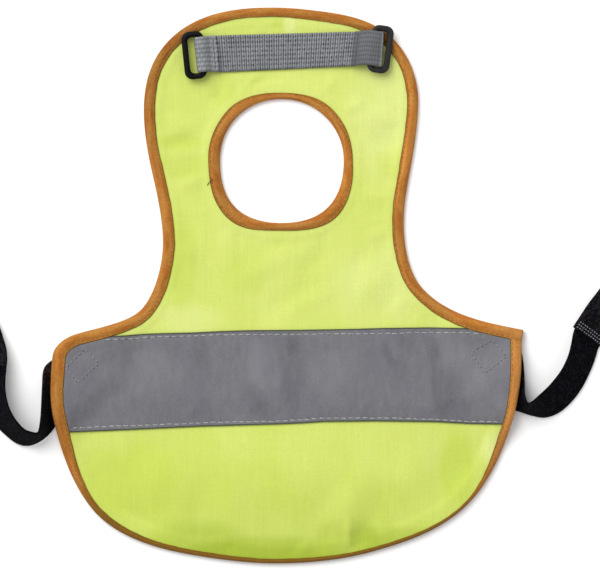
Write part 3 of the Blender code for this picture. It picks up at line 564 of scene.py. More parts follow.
# How uneven it is: about how long its waves are, and how far they go
WIDE_WAVES, WIDE_SHARE = (55.0, 34.0, 21.0), 0.03
STRAY_WAVES, OUTER_STRAY, NECK_STRAY = (10.5, 7.2), 0.08, 0.02
ROLL_WAVES, ROLL_RISE = (41.0, 16.5, 11.4, 6.3), 0.12
CORNER_TURN = math.radians(79)
CORNER_EASE = 16.0  # how far from the corner the inner side is drawn along
STRIP_OVERHANG = 0.9  # of the binding's first end past the corner
LAP_GAP = -0.15  # between its first end's inner side and its last end


# Plan geometry

def smooth_step(value):
    """Rises softly from 0 to 1 as the value does."""
    value = np.clip(value, 0.0, 1.0)
    return value * value * (3 - 2 * value)


def fade(distance, full, none):
    """1 up to the full distance, falling softly to 0 at the other."""
    return 1 - smooth_step((distance - full) / (none - full))


def heading_vector(degrees):
    turn = math.radians(degrees)
    return np.array((math.cos(turn), math.sin(turn)))


def unit(vectors):
    return vectors / np.maximum(np.linalg.norm(vectors, axis=-1, keepdims=True), TINY)


def distances(points):
    """How far along a line of points each of them is."""
    steps = np.linalg.norm(np.diff(points, axis=0), axis=1)
    return np.concatenate([[0], np.cumsum(steps)])


def spot_at(place, distance, points):
    """The spot at this place along a line of points."""
    return np.array([np.interp(place, distance, column) for column in points.T])


def value_at(rows, place):
    """The second column's value where the first is at this place."""
    return np.interp(place, [row[0] for row in rows], [row[1] for row in rows])


def turned_left(vectors):
    return np.stack([-vectors[..., 1], vectors[..., 0]], axis=-1)


def waves(distance, whole, lengths):
    """A soft uneven line that closes on itself round the whole, from waves of about these lengths."""
    total = 0.0
    for length in lengths:
        count = round(whole / length)
        total = total + np.sin(TURN * (count * distance / whole + CHANCE.random())) / len(lengths)
    return total


def segment_distance(x, y, x0, y0, x1, y1):
    """How far points are from the straight line between two spots."""
    dx, dy = x1 - x0, y1 - y0
    share = ((x - x0) * dx + (y - y0) * dy) / np.maximum(dx * dx + dy * dy, TINY)
    share = np.clip(share, 0.0, 1.0)
    return np.hypot(x - x0 - share * dx, y - y0 - share * dy)


def loop_distance(x, y, loop):
    """How far points are from a closed loop."""
    following = np.roll(loop, -1, axis=0)
    nearest = np.full(len(x), np.inf)
    for start in range(0, len(x), AT_ONCE):
        part = slice(start, start + AT_ONCE)
        away = segment_distance(
            x[part, None], y[part, None], loop[:, 0], loop[:, 1], following[:, 0], following[:, 1]
        )
        nearest[part] = away.min(axis=1)
    return nearest


def inside(x, y, loop):
    """Whether points are within a closed loop."""
    within = np.zeros(len(x), dtype=bool)
    last = loop[-1]
    for point in loop:
        if point[1] != last[1]:
            straddles = (point[1] > y) != (last[1] > y)
            crossing = (last[0] - point[0]) * (y - point[1]) / (last[1] - point[1]) + point[0]
            within ^= straddles & (x < crossing)
        last = point
    return within


def curve_through(rows, spacing):
    """Points about this far apart along cubic arcs from row to row, and binding widths there."""
    points, widths = [], []
    for row, following in zip(rows, rows[1:]):
        start, end = np.array((row.x, row.y)), np.array((following.x, following.y))
        chord = np.linalg.norm(end - start)
        leave = start + heading_vector(row.heading) * row.pull * chord
        arrive = end - heading_vector(following.heading) * following.pull * chord
        t = np.linspace(0, 1, max(2, round(chord / spacing)), endpoint=False)[:, None]
        s = 1 - t
        points.append(s**3 * start + 3 * s * s * t * leave + 3 * s * t * t * arrive + t**3 * end)
        widths.append(row.bind + (following.bind - row.bind) * smooth_step(t[:, 0]))
    return np.concatenate(points), np.concatenate(widths)


class EdgeLine:
    """A bound edge. It gives the spot at a distance along it and a reach in from it."""

    def __init__(self, rows, corner):
        points, widths = curve_through(rows, EDGE_STEP)
        self.spots = np.vstack([points, points[:1]])
        steps = np.diff(self.spots, axis=0)
        self.distance = distances(self.spots)
        self.length = self.distance[-1]
        left = turned_left(unit(steps))
        normals = np.vstack([left[:1], unit(left[:-1] + left[1:]), left[-1:]])
        if not corner:
            normals[0] = normals[-1] = unit(left[0] + left[-1])
        self.normals = normals
        self.widths = np.append(widths, rows[-1].bind)
        self.miter, self.first_end, self.last_end = 0.0, 0.0, self.length
        if corner:
            self.miter = math.tan(CORNER_TURN / 2)
            self.first_end = -STRIP_OVERHANG
            self.last_end = self.length - (rows[0].bind + LAP_GAP) / math.sin(CORNER_TURN)

    def along(self, values, distance):
        return np.interp(distance, self.distance, values)

    def inwards(self, distance, reach):
        x = self.along(self.spots[:, 0], distance) + self.along(self.normals[:, 0], distance) * reach
        y = self.along(self.spots[:, 1], distance) + self.along(self.normals[:, 1], distance) * reach
        return x, y

    def at(self, distance, reach):
        """Near the sharp corner the inner spots are drawn along, so that they don't cross."""
        near_start = np.clip(1 - distance / CORNER_EASE, 0, 1)
        near_end = np.clip(1 - (self.length - distance) / CORNER_EASE, 0, 1)
        return self.inwards(distance + reach * self.miter * (near_start - near_end), reach)

    def strip(self, distance, reach):
        """A spot on the folded strip. Its first end is square, and its last butts on its first."""
        slant = reach / math.tan(CORNER_TURN) if self.miter else 0.0
        shifted = distance + slant * np.clip(1 - (self.last_end - distance) / CORNER_EASE, 0, 1)
        before = np.minimum(shifted, 0.0)
        leave = unit(self.spots[1] - self.spots[0])
        x, y = self.inwards(shifted, reach)
        return x + leave[0] * before, y + leave[1] * before

    def loop(self, reach):
        """The closed line at a reach in from the edge."""
        return np.stack(self.at(self.distance[:-1], reach), axis=1)


OUTER_EDGE = EdgeLine(OUTLINE, corner=True)
NECK_EDGE = EdgeLine(NECK, corner=False)
OUTER_LOOP = OUTER_EDGE.loop(0.0)
NECK_LOOP = NECK_EDGE.loop(0.0)


# How the cloth lies

def stand_off(x, y):
    """How high the panel's underside lies above the surface, its rim's own raise left out."""
    height = np.zeros(np.shape(x))
    for pad in PADS:
        away = segment_distance(x, y, pad.x, pad.y, pad.to_x, pad.to_y)
        height += pad.height * fade(away, pad.full, pad.none)
    for hump in HUMPS:
        turn = math.radians(hump.heading)
        dx, dy = x - hump.x, y - hump.y
        along = dx * math.cos(turn) + dy * math.sin(turn)
        across = dy * math.cos(turn) - dx * math.sin(turn)
        oval = np.hypot(along / hump.half_long, across / hump.half_wide)
        height += hump.height * fade(oval, 0.0, 1.0)
    return height


def crease_height(x, y, rows):
    """What the rows' creases add: each a bowed ridge, or a hollow where it is below 0."""
    height = np.zeros(np.shape(x))
    for row in rows:
        dx, dy = row.to_x - row.x, row.to_y - row.y
        half = math.hypot(dx, dy) / 2
        off_x, off_y = x - (row.x + row.to_x) / 2, y - (row.y + row.to_y) / 2
        along = (off_x * dx + off_y * dy) / (2 * half * half)
        swell = np.clip(1 - along * along, 0, 1)
        across = (off_y * dx - off_x * dy) / (2 * half) - row.bow * swell
        height += row.height * swell**2 * np.exp(-((across / row.half_wide) ** 2))
    return height


def puckers(edge, ranges):
    """Small uneven creases that run in from a bound edge, where its stitching gathers the cloth."""
    rows = []
    distance = ranges.gap[0]
    while distance < edge.length - ranges.gap[0]:
        start = edge.along(edge.widths, distance) - PUCKER_HIDDEN
        x, y = edge.at(distance, start)
        length = CHANCE.uniform(*ranges.reach)
        to_x, to_y = edge.at(distance + CHANCE.uniform(*ranges.slant), start + length)
        height = CHANCE.uniform(*ranges.height) * CHANCE.choice((-1, 1))
        half_wide = CHANCE.uniform(*ranges.half_wide)
        bow = CHANCE.uniform(*ranges.bow)
        rows.append(CreaseRow("pucker", x, y, to_x, to_y, half_wide, height, bow))
        distance += CHANCE.uniform(*ranges.gap)
    return rows


PUCKERS = puckers(OUTER_EDGE, OUTER_PUCKERS) + puckers(NECK_EDGE, NECK_PUCKERS)


def panel_heights(x, y):
    """Heights of the panel's underside and top."""
    away = np.minimum(loop_distance(x, y, OUTER_LOOP), loop_distance(x, y, NECK_LOOP))
    pressed = fade(away, RIM_FULL, RIM_SLOPE_END)
    fold = (crease_height(x, y, CREASES) + crease_height(x, y, PUCKERS)) * (1 - RIM_FLATTENS * pressed)
    fold += crease_height(x, y, HEM_CREASES) * (1 - fade(away, HEM_HELD, HEM_FREE))
    under = stand_off(x, y) + RIM_RAISE * pressed
    top = under + PANEL_THICK + (RIM_THICK - PANEL_THICK) * pressed + fold
    under = np.maximum(under + UNDER_FOLLOWS * fold, np.minimum(under, 0.0))
    return under, top


# Meshes

def add_piece(name, vertices, faces, cloth=None):
    """A mesh piece from points in millimetres. cloth is its measure in millimetres at each
    face's corners, kept as a UV map."""
    mesh = bpy.data.meshes.new(name)
    mesh.from_pydata((np.asarray(vertices) * MM).tolist(), [], faces)
    if cloth is not None:
        layer = mesh.uv_layers.new(name="cloth")
        layer.uv.foreach_set("vector", np.asarray(cloth, dtype=np.float32).ravel())
    bm = bmesh.new()
    bm.from_mesh(mesh)
    bmesh.ops.recalc_face_normals(bm, faces=bm.faces)
    bm.to_mesh(mesh)
    bm.free()
    mesh.shade_smooth()
    piece = bpy.data.objects.new(name, mesh)
    bpy.context.collection.objects.link(piece)
    return piece


def crisp(piece, degrees):
    """Keeps edges sharper than this angle crisp."""
    bpy.ops.object.select_all(action="DESELECT")
    piece.select_set(True)
    bpy.context.view_layer.objects.active = piece
    bpy.ops.object.shade_smooth_by_angle(angle=math.radians(degrees))
    piece.select_set(False)
    return piece


def skin(name, rings, along, around, closed):
    """A surface over rings of points. along and around are the cloth's measures at the rings and
    round them; around has one value more, where a ring closes."""
    count, corners = len(rings), rings.shape[1]
    steps = count if closed else count - 1
    faces, cloth = [], []
    for i in range(steps):
        j = (i + 1) % count
        for k in range(corners):
            m = (k + 1) % corners
            faces.append((i * corners + k, j * corners + k, j * corners + m, i * corners + m))
            low, high = along[i], along[i + 1]
            inner, outer = around[k], around[k + 1]
            cloth += [(low, inner), (high, inner), (high, outer), (low, outer)]
    if not closed:
        last = (count - 1) * corners
        faces.append(tuple(range(corners)))
        cloth += [(along[0], around[k]) for k in range(corners)]
        faces.append(tuple(last + k for k in reversed(range(corners))))
        cloth += [(along[-1], around[k]) for k in reversed(range(corners))]
    return add_piece(name, rings.reshape(-1, 3), faces, cloth)


def hexagon_grid(loop, spacing):
    """Points of a triangular grid over a loop's box."""
    low, high = loop.min(axis=0), loop.max(axis=0)
    rows = np.arange(low[1], high[1], spacing * math.sqrt(3) / 2)
    columns = np.arange(low[0], high[0], spacing)
    x, y = np.meshgrid(columns, rows)
    x = x + (np.arange(len(rows)) % 2 * spacing / 2)[:, None]
    return x.ravel(), y.ravel()


def triangulate(loops, extra):
    """Triangles over the area within the first loop and outside the others."""
    spots, edges = [], []
    for loop in loops:
        first = len(spots)
        spots += [tuple(spot) for spot in loop]
        for index in range(len(loop)):
            edges.append((first + index, first + (index + 1) % len(loop)))
    spots += [tuple(spot) for spot in extra]
    found = delaunay_2d_cdt(spots, edges, [], 0, ONE_SPOT)
    spots = np.array([tuple(spot) for spot in found[0]])
    triangles = np.array([face for face in found[2]])
    middle = spots[triangles].mean(axis=1)
    kept = inside(middle[:, 0], middle[:, 1], loops[0])
    for loop in loops[1:]:
        kept &= ~inside(middle[:, 0], middle[:, 1], loop)
    triangles = triangles[kept]
    used, triangles = np.unique(triangles, return_inverse=True)
    return spots[used], triangles.reshape(-1, 3)


def twice_area(corners):
    """Twice the area of each triangle in plan, below 0 for those that turn right."""
    one, two = corners[:, 1] - corners[:, 0], corners[:, 2] - corners[:, 0]
    return one[:, 0] * two[:, 1] - one[:, 1] * two[:, 0]


def plan_area(spots, triangles):
    return float(np.abs(twice_area(spots[triangles])).sum() / 2) * MM * MM


def thick_sheet(name, spots, triangles, under, top, cloth):
    """A closed sheet between two heights over triangles laid out in plan."""
    count = len(spots)
    triangles = np.where((twice_area(spots[triangles]) < 0)[:, None], triangles[:, ::-1], triangles)
    pairs = np.concatenate([triangles[:, [0, 1]], triangles[:, [1, 2]], triangles[:, [2, 0]]])
    known = {tuple(pair) for pair in pairs.tolist()}
    rims = sorted((a, b) for a, b in known if (b, a) not in known)
    faces = (triangles + count).tolist() + triangles[:, ::-1].tolist()
    faces += [(a, b, b + count, a + count) for a, b in rims]
    vertices = np.concatenate([np.column_stack([spots, under]), np.column_stack([spots, top])])
    measures = np.concatenate([cloth, cloth])
    order = np.concatenate([np.array(face) for face in faces])
    return crisp(add_piece(name, vertices, faces, measures[order]), SHEET_CRISP)


def ribbon(name, grid, thickness, edge_power, weave=None):
    """A strip of woven cloth over a grid of middle points, rows along it and columns across, with
    soft edges. weave gives how far its faces swell, from the measures along and across it."""
    along_way = unit(np.gradient(grid, axis=0))
    across_way = unit(np.gradient(grid, axis=1))
    normals = unit(np.cross(along_way, across_way))
    along = distances(grid[:, grid.shape[1] // 2])
    across = distances(grid[len(grid) // 2])
    place = np.abs(2 * across / across[-1] - 1)
    soft = (1 - place**edge_power) ** 0.5
    half = np.repeat((thickness / 2 * soft)[None, :], len(grid), axis=0)
    if weave:
        half = half + weave(along[:, None], across[None, :]) * soft
    upper = grid + normals * half[..., None]
    lower = grid - normals * half[..., None]
    rings = np.concatenate([upper, lower[:, -2:0:-1]], axis=1)
    around = np.concatenate([across, across[-2::-1]])
    return skin(name, rings, along, around, closed=False)


# Bound edges

def section_measure():
    """How far round the binding's section each of its corners is, at its typical width."""
    reaches = [row.fixed + row.share * SECTION_SHOWN for row in SECTION]
    heights = [row.height for row in SECTION]
    return np.concatenate([[0], np.cumsum(np.hypot(np.diff(reaches), np.diff(heights)))])


SECTION_AROUND = section_measure()
LIP_AT = float(SECTION_AROUND[[row.name for row in SECTION].index("lip, edge")])


def add_binding(name, edge):
    """A strip folded round an edge and pressed where its stitching runs."""
    count = round(edge.length / EDGE_STEP)
    closed = edge.miter == 0
    distance = np.linspace(edge.first_end, edge.last_end, count + 1)
    if closed:
        distance = distance[:-1]
    width = edge.along(edge.widths, distance)
    width = width * (1 + WIDE_SHARE * waves(distance, edge.length, WIDE_WAVES))
    stray = NECK_STRAY if closed else OUTER_STRAY
    width = width + stray * waves(distance, edge.length, STRAY_WAVES)
    roll = ROLL_RISE * waves(distance, edge.length, ROLL_WAVES)
    rings = []
    for row in SECTION:
        x, y = edge.strip(distance, row.fixed + row.share * width)
        rise = 1 - abs(2 * row.share - 1)  # none of it at the edge and at the lip
        rings.append(np.stack([x, y, stand_off(x, y) + row.height + roll * rise], axis=1))
    rings = np.stack(rings, axis=1)
    around = np.append(SECTION_AROUND, SECTION_AROUND[-1] + SECTION[-1].height - SECTION[0].height)
    along = np.append(distance, edge.length)
    return skin(name, rings, along, around, closed)


# Stitches

def stitch_piece(name, centres, ways, lengths, kind):
    """A piece of small rounded stitches that dip into the cloth at both ends."""
    sides = STITCH_SIDES
    vertices, faces = [], []
    for centre, way, length in zip(centres, ways, lengths):
        way = way / np.linalg.norm(way)
        side = np.array((-way[1], way[0], 0.0))
        side /= np.linalg.norm(side)
        up = np.cross(way, side)
        first = len(vertices)
        for form in STITCH_FORM:
            middle = centre + way * form.place * length / 2 + up * kind.tall * (form.rise - 1) * STITCH_SINK
            for k in range(sides):
                turn = TURN * k / sides
                spoke = side * math.cos(turn) * kind.wide / 2 + up * math.sin(turn) * kind.tall / 2
                vertices.append(middle + spoke * form.thick)
        for ring in range(len(STITCH_FORM) - 1):
            for k in range(sides):
                a, b = first + ring * sides + k, first + ring * sides + (k + 1) % sides
                faces.append((a, b, b + sides, a + sides))
        faces.append(tuple(first + k for k in range(sides)))
        last = first + (len(STITCH_FORM) - 1) * sides
        faces.append(tuple(last + k for k in reversed(range(sides))))
    return add_piece(name, vertices, faces)


def stitch_run(spots, kind):
    """Middles, directions and lengths of stitches along a line of spots in plan."""
    distance = distances(spots)
    count = max(1, int(distance[-1] // kind.pitch))
    middles = (np.arange(count) + 0.5) * distance[-1] / count
    long = distance[-1] / count * kind.share
    middles = middles + CHANCE.uniform(-1, 1, count) * kind.pitch * STITCH_STRAY
    offset = CHANCE.uniform(-1, 1, count) * kind.wander
    found = []
    for middle, aside in zip(middles, offset):
        start = spot_at(middle - long / 2, distance, spots)
        end = spot_at(middle + long / 2, distance, spots)
        way = end - start
        left = np.array((-way[1], way[0])) / max(math.hypot(way[0], way[1]), TINY)
        centre = (start + end) / 2
        centre[:2] += left * aside
        found.append((centre, way, long))
    return found


def add_stitches(name, runs, height, kind):
    """One piece of stitches on a surface whose top is height(x, y)."""
    centres, ways, lengths = [], [], []
    for centre, way, long in runs:
        flat = way[:2] / np.linalg.norm(way[:2]) * long / 2
        x = np.array([centre[0] - flat[0], centre[0], centre[0] + flat[0]])
        y = np.array([centre[1] - flat[1], centre[1], centre[1] + flat[1]])
        z = height(x, y)
        middle = z.mean() + kind.tall * STITCH_RAISE
        centres.append(np.array((centre[0], centre[1], middle)))
        ways.append(np.array((2 * flat[0], 2 * flat[1], z[2] - z[0])))
        lengths.append(long)
    return stitch_piece(name, centres, ways, lengths, kind)


# Materials

class Field:
    """A number that changes over a surface. Sums and products of fields add their own nodes."""

    def __init__(self, finish, socket):
        self.finish = finish
        self.socket = socket

    def math(self, operation, *values):
        inputs = dict(enumerate(values))
        made = self.finish.node("ShaderNodeMath", {"operation": operation}, inputs)
        return Field(self.finish, made.outputs[0])

    def __add__(self, other):
        return self.math("ADD", self, other)

    __radd__ = __add__

    def __mul__(self, other):
        return self.math("MULTIPLY", self, other)

    __rmul__ = __mul__

    def __sub__(self, other):
        return self.math("SUBTRACT", self, other)

    def __rsub__(self, other):
        return self.math("SUBTRACT", other, self)

    def __truediv__(self, other):
        return self.math("DIVIDE", self, other)

    def __pow__(self, other):
        return self.math("POWER", self, other)

    def __abs__(self):
        return self.math("ABSOLUTE", self)

    def sine(self):
        return self.math("SINE", self)

    def at_least(self, other):
        return self.math("MAXIMUM", self, other)

    def between(self, low, high):
        """0 below low, 1 above high, and soft between them."""
        settings = {"interpolation_type": "SMOOTHSTEP"}
        inputs = {"Value": self, "From Min": low, "From Max": high}
        made = self.finish.node("ShaderNodeMapRange", settings, inputs)
        return Field(self.finish, made.outputs["Result"])


class Finish:
    """A material, with a method for its nodes and a few for what cloth needs."""

    def __init__(self, name, roughness, settings=None):
        self.material = bpy.data.materials.new(name)
        self.material.use_nodes = True
        self.tree = self.material.node_tree
        self.shader = self.tree.nodes["Principled BSDF"]
        self.shader.inputs["Roughness"].default_value = roughness
        for socket, value in (settings or {}).items():
            self.shader.inputs[socket].default_value = value

    def feed(self, socket, value):
        if isinstance(value, Field):
            value = value.socket
        if isinstance(value, bpy.types.NodeSocket):
            self.tree.links.new(value, socket)
        elif isinstance(value, tuple) and len(value) == 3 and socket.type == "RGBA":
            socket.default_value = (*value, 1.0)
        else:
            socket.default_value = value

    def node(self, kind, settings=None, inputs=None):
        made = self.tree.nodes.new(kind)
        for name, value in (settings or {}).items():
            setattr(made, name, value)
        for name, value in (inputs or {}).items():
            self.feed(made.inputs[name], value)
        return made

    def place(self):
        """Where a point is on the vest, in millimetres."""
        spot = self.node("ShaderNodeTexCoord").outputs["Object"]
        return self.scaled(spot, (1000, 1000, 1000))

    def cloth(self):
        """Where a point is on its piece of cloth, in millimetres along it and across it."""
        return self.node("ShaderNodeUVMap", {"uv_map": "cloth"}).outputs["UV"]

    def scaled(self, vector, factors):
        settings = {"operation": "MULTIPLY"}
        return self.node("ShaderNodeVectorMath", settings, {0: vector, 1: factors}).outputs[0]

    def parts(self, vector):
        made = self.node("ShaderNodeSeparateXYZ", None, {0: vector})
        return [Field(self, made.outputs[index]) for index in range(3)]

    def patches(self, vector, size, detail=2.0, rough=0.5, shift=0.0):
        """Uneven patches of this size in millimetres each way, from 0 to 1."""
        spread = self.scaled(vector, tuple(1 / side for side in size))
        offset = (shift, shift * 1.7, shift * 0.6)
        moved = self.node("ShaderNodeVectorMath", {"operation": "ADD"}, {0: spread, 1: offset})
        inputs = {"Vector": moved.outputs[0], "Scale": 1.0, "Detail": detail, "Roughness": rough}
        made = self.node("ShaderNodeTexNoise", {"noise_dimensions": "3D"}, inputs)
        return Field(self, made.outputs["Fac"])

    def oval(self, x, y, row):
        """1 in the middle of a row's patch, falling softly to 0 at its edge."""
        away = ((x - row.x) / row.half_x) ** 2 + ((y - row.y) / row.half_y) ** 2
        return 1 - away.between(0.0, 1.0)

    def tones(self, start, x, y, rows):
        """A number with the amount of each row's patch added to it."""
        for row in rows:
            start = start + self.oval(x, y, row) * row.amount
        return start

    def wave(self, measure, pitch):
        """A sine from 0 to 1 with this pitch in millimetres."""
        return (measure * (TURN / pitch)).sine() * 0.5 + 0.5

    def blend(self, factor, low, high):
        settings = {"data_type": "RGBA", "blend_type": "MIX", "clamp_factor": True}
        return self.node("ShaderNodeMix", settings, {0: factor, 6: low, 7: high}).outputs[2]

    def shade(self, colour, factor):
        """The colour made lighter or darker by a factor near 1."""
        made = self.node("ShaderNodeCombineXYZ", None, {0: factor, 1: factor, 2: factor})
        return self.scaled(colour, made.outputs[0])

    def colour(self, value):
        self.feed(self.shader.inputs["Base Color"], value)

    def roughness(self, value):
        self.feed(self.shader.inputs["Roughness"], value)

    def relief(self, height, depth, strength=1.0):
        """Bumps of this depth in millimetres."""
        inputs = {"Height": height, "Distance": depth * MM, "Strength": strength}
        made = self.node("ShaderNodeBump", None, inputs)
        self.feed(self.shader.inputs["Normal"], made.outputs["Normal"])


def yellow_cloth():
    """Fluorescent woven polyester: a fine weave with faint slubs, and painted shade that deepens it towards
    the hem.
    """
    finish = Finish("safety_yellow_cloth", 0.8, {"Specular IOR Level": 0.12, "Sheen Weight": 0.05})
    place = finish.place()
    x, y, _ = finish.parts(place)
    weave = (x * (TURN / 0.5)).sine() * (y * (TURN / 0.5)).sine()
    slubs = finish.patches(place, (1.1, 22.0, 4.0), 2.0, 0.6)
    picks = finish.patches(place, (15.0, 1.0, 4.0), 2.0, 0.6, 9.0)
    grain = finish.patches(place, (0.9, 0.9, 0.9), 1.0, 0.5, 3.0)
    streaks = finish.patches(place, (6.0, 24.0, 20.0), 2.0, 0.5, 12.0)
    clouds = finish.patches(place, (38.0, 52.0, 30.0), 2.0, 0.5, 5.0)
    # The clouds are the cloth's own uneven tone. The deepening from the chest to the hem is painted shade,
    # and TONES adds painted light and shade patches.
    tone = clouds.between(0.40, 0.60) * 0.30 + (-1.0 * y).between(20.0, 140.0) * 0.62
    # Painted shade along the hem and in its dent
    hem = (-1.0 * y).between(128.0, 150.0) * 0.2
    tone = finish.tones(tone, x, y, TONES)
    hem = finish.tones(hem, x, y, HEM_SHADES)
    base = finish.blend(tone, YELLOW, YELLOW_DEEP)
    base = finish.blend(tone * -1.0, base, YELLOW_PALE)
    base = finish.blend(hem, base, YELLOW_HEM_SHADE)
    mottled = 1.0 + (slubs - 0.5) * 0.12 + (picks - 0.5) * 0.06 + (grain - 0.5) * 0.16
    mottled = mottled + (streaks - 0.5) * 0.05
    finish.colour(finish.shade(base, mottled))
    finish.relief(weave * 0.2 + slubs * 0.8 + picks * 0.5 + grain * 0.6, 0.05)
    return finish.material


def orange_binding():
    """Bias-cut woven strip: slanting threads and uneven dye, with painted shade along its lip and inner
    flank, painted light along its roll and on its right side, and painted shade towards the hem."""
    finish = Finish("orange_bias_binding", 0.75, {"Specular IOR Level": 0.1})
    cloth = finish.cloth()
    along, across, _ = finish.parts(cloth)
    x, y, _ = finish.parts(finish.place())
    slant = ((along + across) * (TURN / 1.15)).sine()
    other = ((along - across) * (TURN / 1.15)).sine()
    streaks = finish.patches(cloth, (0.9, 2.6, 1.0), 3.0, 0.7)
    long_streaks = finish.patches(cloth, (9.0, 0.9, 1.0), 2.0, 0.6, 4.0)
    clouds = finish.patches(cloth, (14.0, 3.0, 1.0), 3.0, 0.6, 2.0)
    base = finish.blend(clouds.between(0.36, 0.64), ORANGE_DEEP, ORANGE)
    base = finish.blend(long_streaks.between(0.5, 0.7) * 0.5, base, ORANGE_STREAK)
    # Painted shade towards the hem, and painted light on the right side
    base = finish.blend((-1.0 * y).between(96.0, 128.0), base, ORANGE_HEM_SHADE)
    base = finish.blend(x.between(106.0, 122.0) * 0.45, base, ORANGE_LIT)
    mottled = 1.05 + (streaks - 0.5) * 0.95 + (long_streaks - 0.5) * 0.45
    mottled = mottled + slant * 0.06 + other * 0.06
    # Painted light and shade patches on the binding
    mottled = finish.tones(mottled, x, y, BINDING_LIGHT_AND_SHADE)
    # Painted highlight along the roll's inner flank
    ridge = 1 - abs(across - (LIP_AT - 1.9)).between(0.3, 1.6)
    for row in RIDGE_HIGHLIGHTS:
        mottled = mottled + finish.oval(x, y, row) * ridge * row.amount
    # Painted shade along the lip, where the binding turns under to the panel, and on the inner flank of its
    # roll
    lip = 1 - abs(across - LIP_AT).between(0.25, 0.85)
    inner_shade = across.between(LIP_AT - 4.2, LIP_AT - 0.6) * (1 - (across - LIP_AT).between(0.0, 0.6))
    base = finish.blend(inner_shade * 0.15, base, ORANGE_INNER_SHADE)
    base = finish.blend(lip * 0.55, base, ORANGE_LIP_SHADE)
    finish.colour(finish.shade(base, mottled * (1 - lip * 0.25)))
    finish.relief(slant * 0.4 + other * 0.4 + streaks * 1.2 + long_streaks * 0.8, 0.14)
    return finish.material


def reflective_grey():
    """Glass-bead tape: smooth grey with rubbed patches, painted light and shade over its creases, and
    painted shadow along its edges.
    """
    finish = Finish("reflective_grey", 0.62, {"Specular IOR Level": 0.2})
    cloth = finish.cloth()
    place = finish.place()
    _, up, _ = finish.parts(cloth)
    x, y, _ = finish.parts(place)
    grain = finish.patches(place, (0.8, 0.8, 0.8), 2.0, 0.6)
    clouds = finish.patches(place, (24.0, 30.0, 20.0), 3.0, 0.55, 7.0)
    rubbed = finish.patches(place, (3.0, 8.0, 5.0), 3.0, 0.6, 2.0)
    ticks = finish.patches(place, (1.2, 5.0, 5.0), 2.0, 0.6, 14.0)
    half = BAND_WIDE / 2
    near_edge = abs(up - half).between(half - 6.0, half)
    # Painted shadow along the band's two long edges, olive like the shaded panel beside them
    edge = abs(up - half).between(half - 0.95, half - 0.50)
    mottled = 1.0 + (grain - 0.5) * 0.42 + (clouds - 0.5) * 0.20 + (rubbed - 0.5) * 0.34
    # Painted light and shade over the band's creases
    mottled = finish.tones(mottled, x, y, BAND_LIGHT_AND_SHADE)
    mottled = mottled - near_edge * ticks.between(0.5, 0.7) * 0.16
    tint = finish.blend(clouds.between(0.40, 0.60), SILVER_WARM, SILVER_COOL)
    finish.colour(finish.blend(edge * 0.9, finish.shade(tint, mottled), SILVER_EDGE_SHADOW))
    finish.relief(grain, 0.02)
    return finish.material


def grey_webbing():
    """Ribbed webbing. The dark gaps lie in the troughs of its weave: between the ribs, and in
    broken rows along it. Its back shows where an end is folded over."""
    finish = Finish("grey_webbing", 0.85, {"Specular IOR Level": 0.15})
    cloth = finish.cloth()
    along, across, _ = finish.parts(cloth)
    ribs = finish.wave(along, WEB_RIB)
    rows = finish.wave(across, WEB_ROW)
    beads = finish.wave(along, 2 * WEB_RIB) * (1 - rows)
    fibres = finish.patches(cloth, (0.4, 0.9, 1.0), 3.0, 0.75)
    breaks = finish.patches(cloth, (1.6, 1.2, 1.0), 2.0, 0.6, 11.0)
    clouds = finish.patches(cloth, (9.0, 7.0, 1.0), 2.0, 0.5, 3.0)
    gaps = (1 - ribs) ** 1.3 * (0.60 + breaks * 0.5)
    dashes = rows ** 2 * breaks.between(0.38, 0.58)
    face = 1.38 - gaps * 1.15 - dashes * (1 - ribs * 0.4) * 0.50 + beads ** 2 * 0.50
    slanting = ((along * (TURN / 2.5)) + across * (TURN / 4.2)).sine() * 0.5 + 0.5
    back = 1.12 + slanting * (1 - rows) * (0.2 + breaks * 0.55) + ribs * 0.22 - rows ** 3 * 0.34
    folded = 1 - along.between(WEB_BACK - 0.2, WEB_BACK)
    smooth = along.between(WEB_LONG - 17.0, WEB_LONG - 15.5)
    dull = 0.36 + ribs * 0.20 + (1 - dashes) * 0.14 + breaks * 0.26 - rows ** 3 * 0.12
    # Painted highlight with fraying along the round of the right fold
    fray_and_highlight = 1 - abs(along - (WEB_LONG - 15.0)).between(0.4, 1.0)
    cut = 1 - along.between(0.3, 0.8)
    tone = face * (1 - folded) * (1 - smooth) + back * folded + dull * smooth
    tone = tone + fray_and_highlight * (0.4 + breaks * 0.8) - cut * 0.4
    mottled = tone * (0.98 + (fibres - 0.5) * 0.90 + (clouds - 0.5) * 0.45)
    finish.colour(finish.shade(WEBBING_GREY, mottled.at_least(0.10)))
    finish.relief(fibres, 0.12)
    return finish.material


def black_elastic():
    """Woven elastic: fine ridges along it, and a browner stretch near its sewn end."""
    finish = Finish("black_elastic", 0.85, {"Specular IOR Level": 0.03})
    cloth = finish.cloth()
    along, across, _ = finish.parts(cloth)
    ridges = finish.wave(across, 0.75)
    picks = finish.wave(along, 0.6)
    fibres = finish.patches(cloth, (1.4, 0.5, 1.0), 3.0, 0.6)
    specks = finish.patches(cloth, (1.7, 1.3, 1.0), 2.0, 0.7, 8.0).between(0.46, 0.62)
    mottled = 0.12 + ridges * 0.25 + ridges * picks * 0.25
    mottled = mottled + fibres.between(0.45, 0.75) * 0.6 + specks * 1.7
    base = finish.blend(along.between(25.0, 45.0), ELASTIC_SEWN, ELASTIC_BLACK)
    finish.colour(finish.shade(base, mottled))
    finish.relief(ridges * 0.8 + ridges * picks * 0.4 + fibres * 0.5, 0.10)
    return finish.material


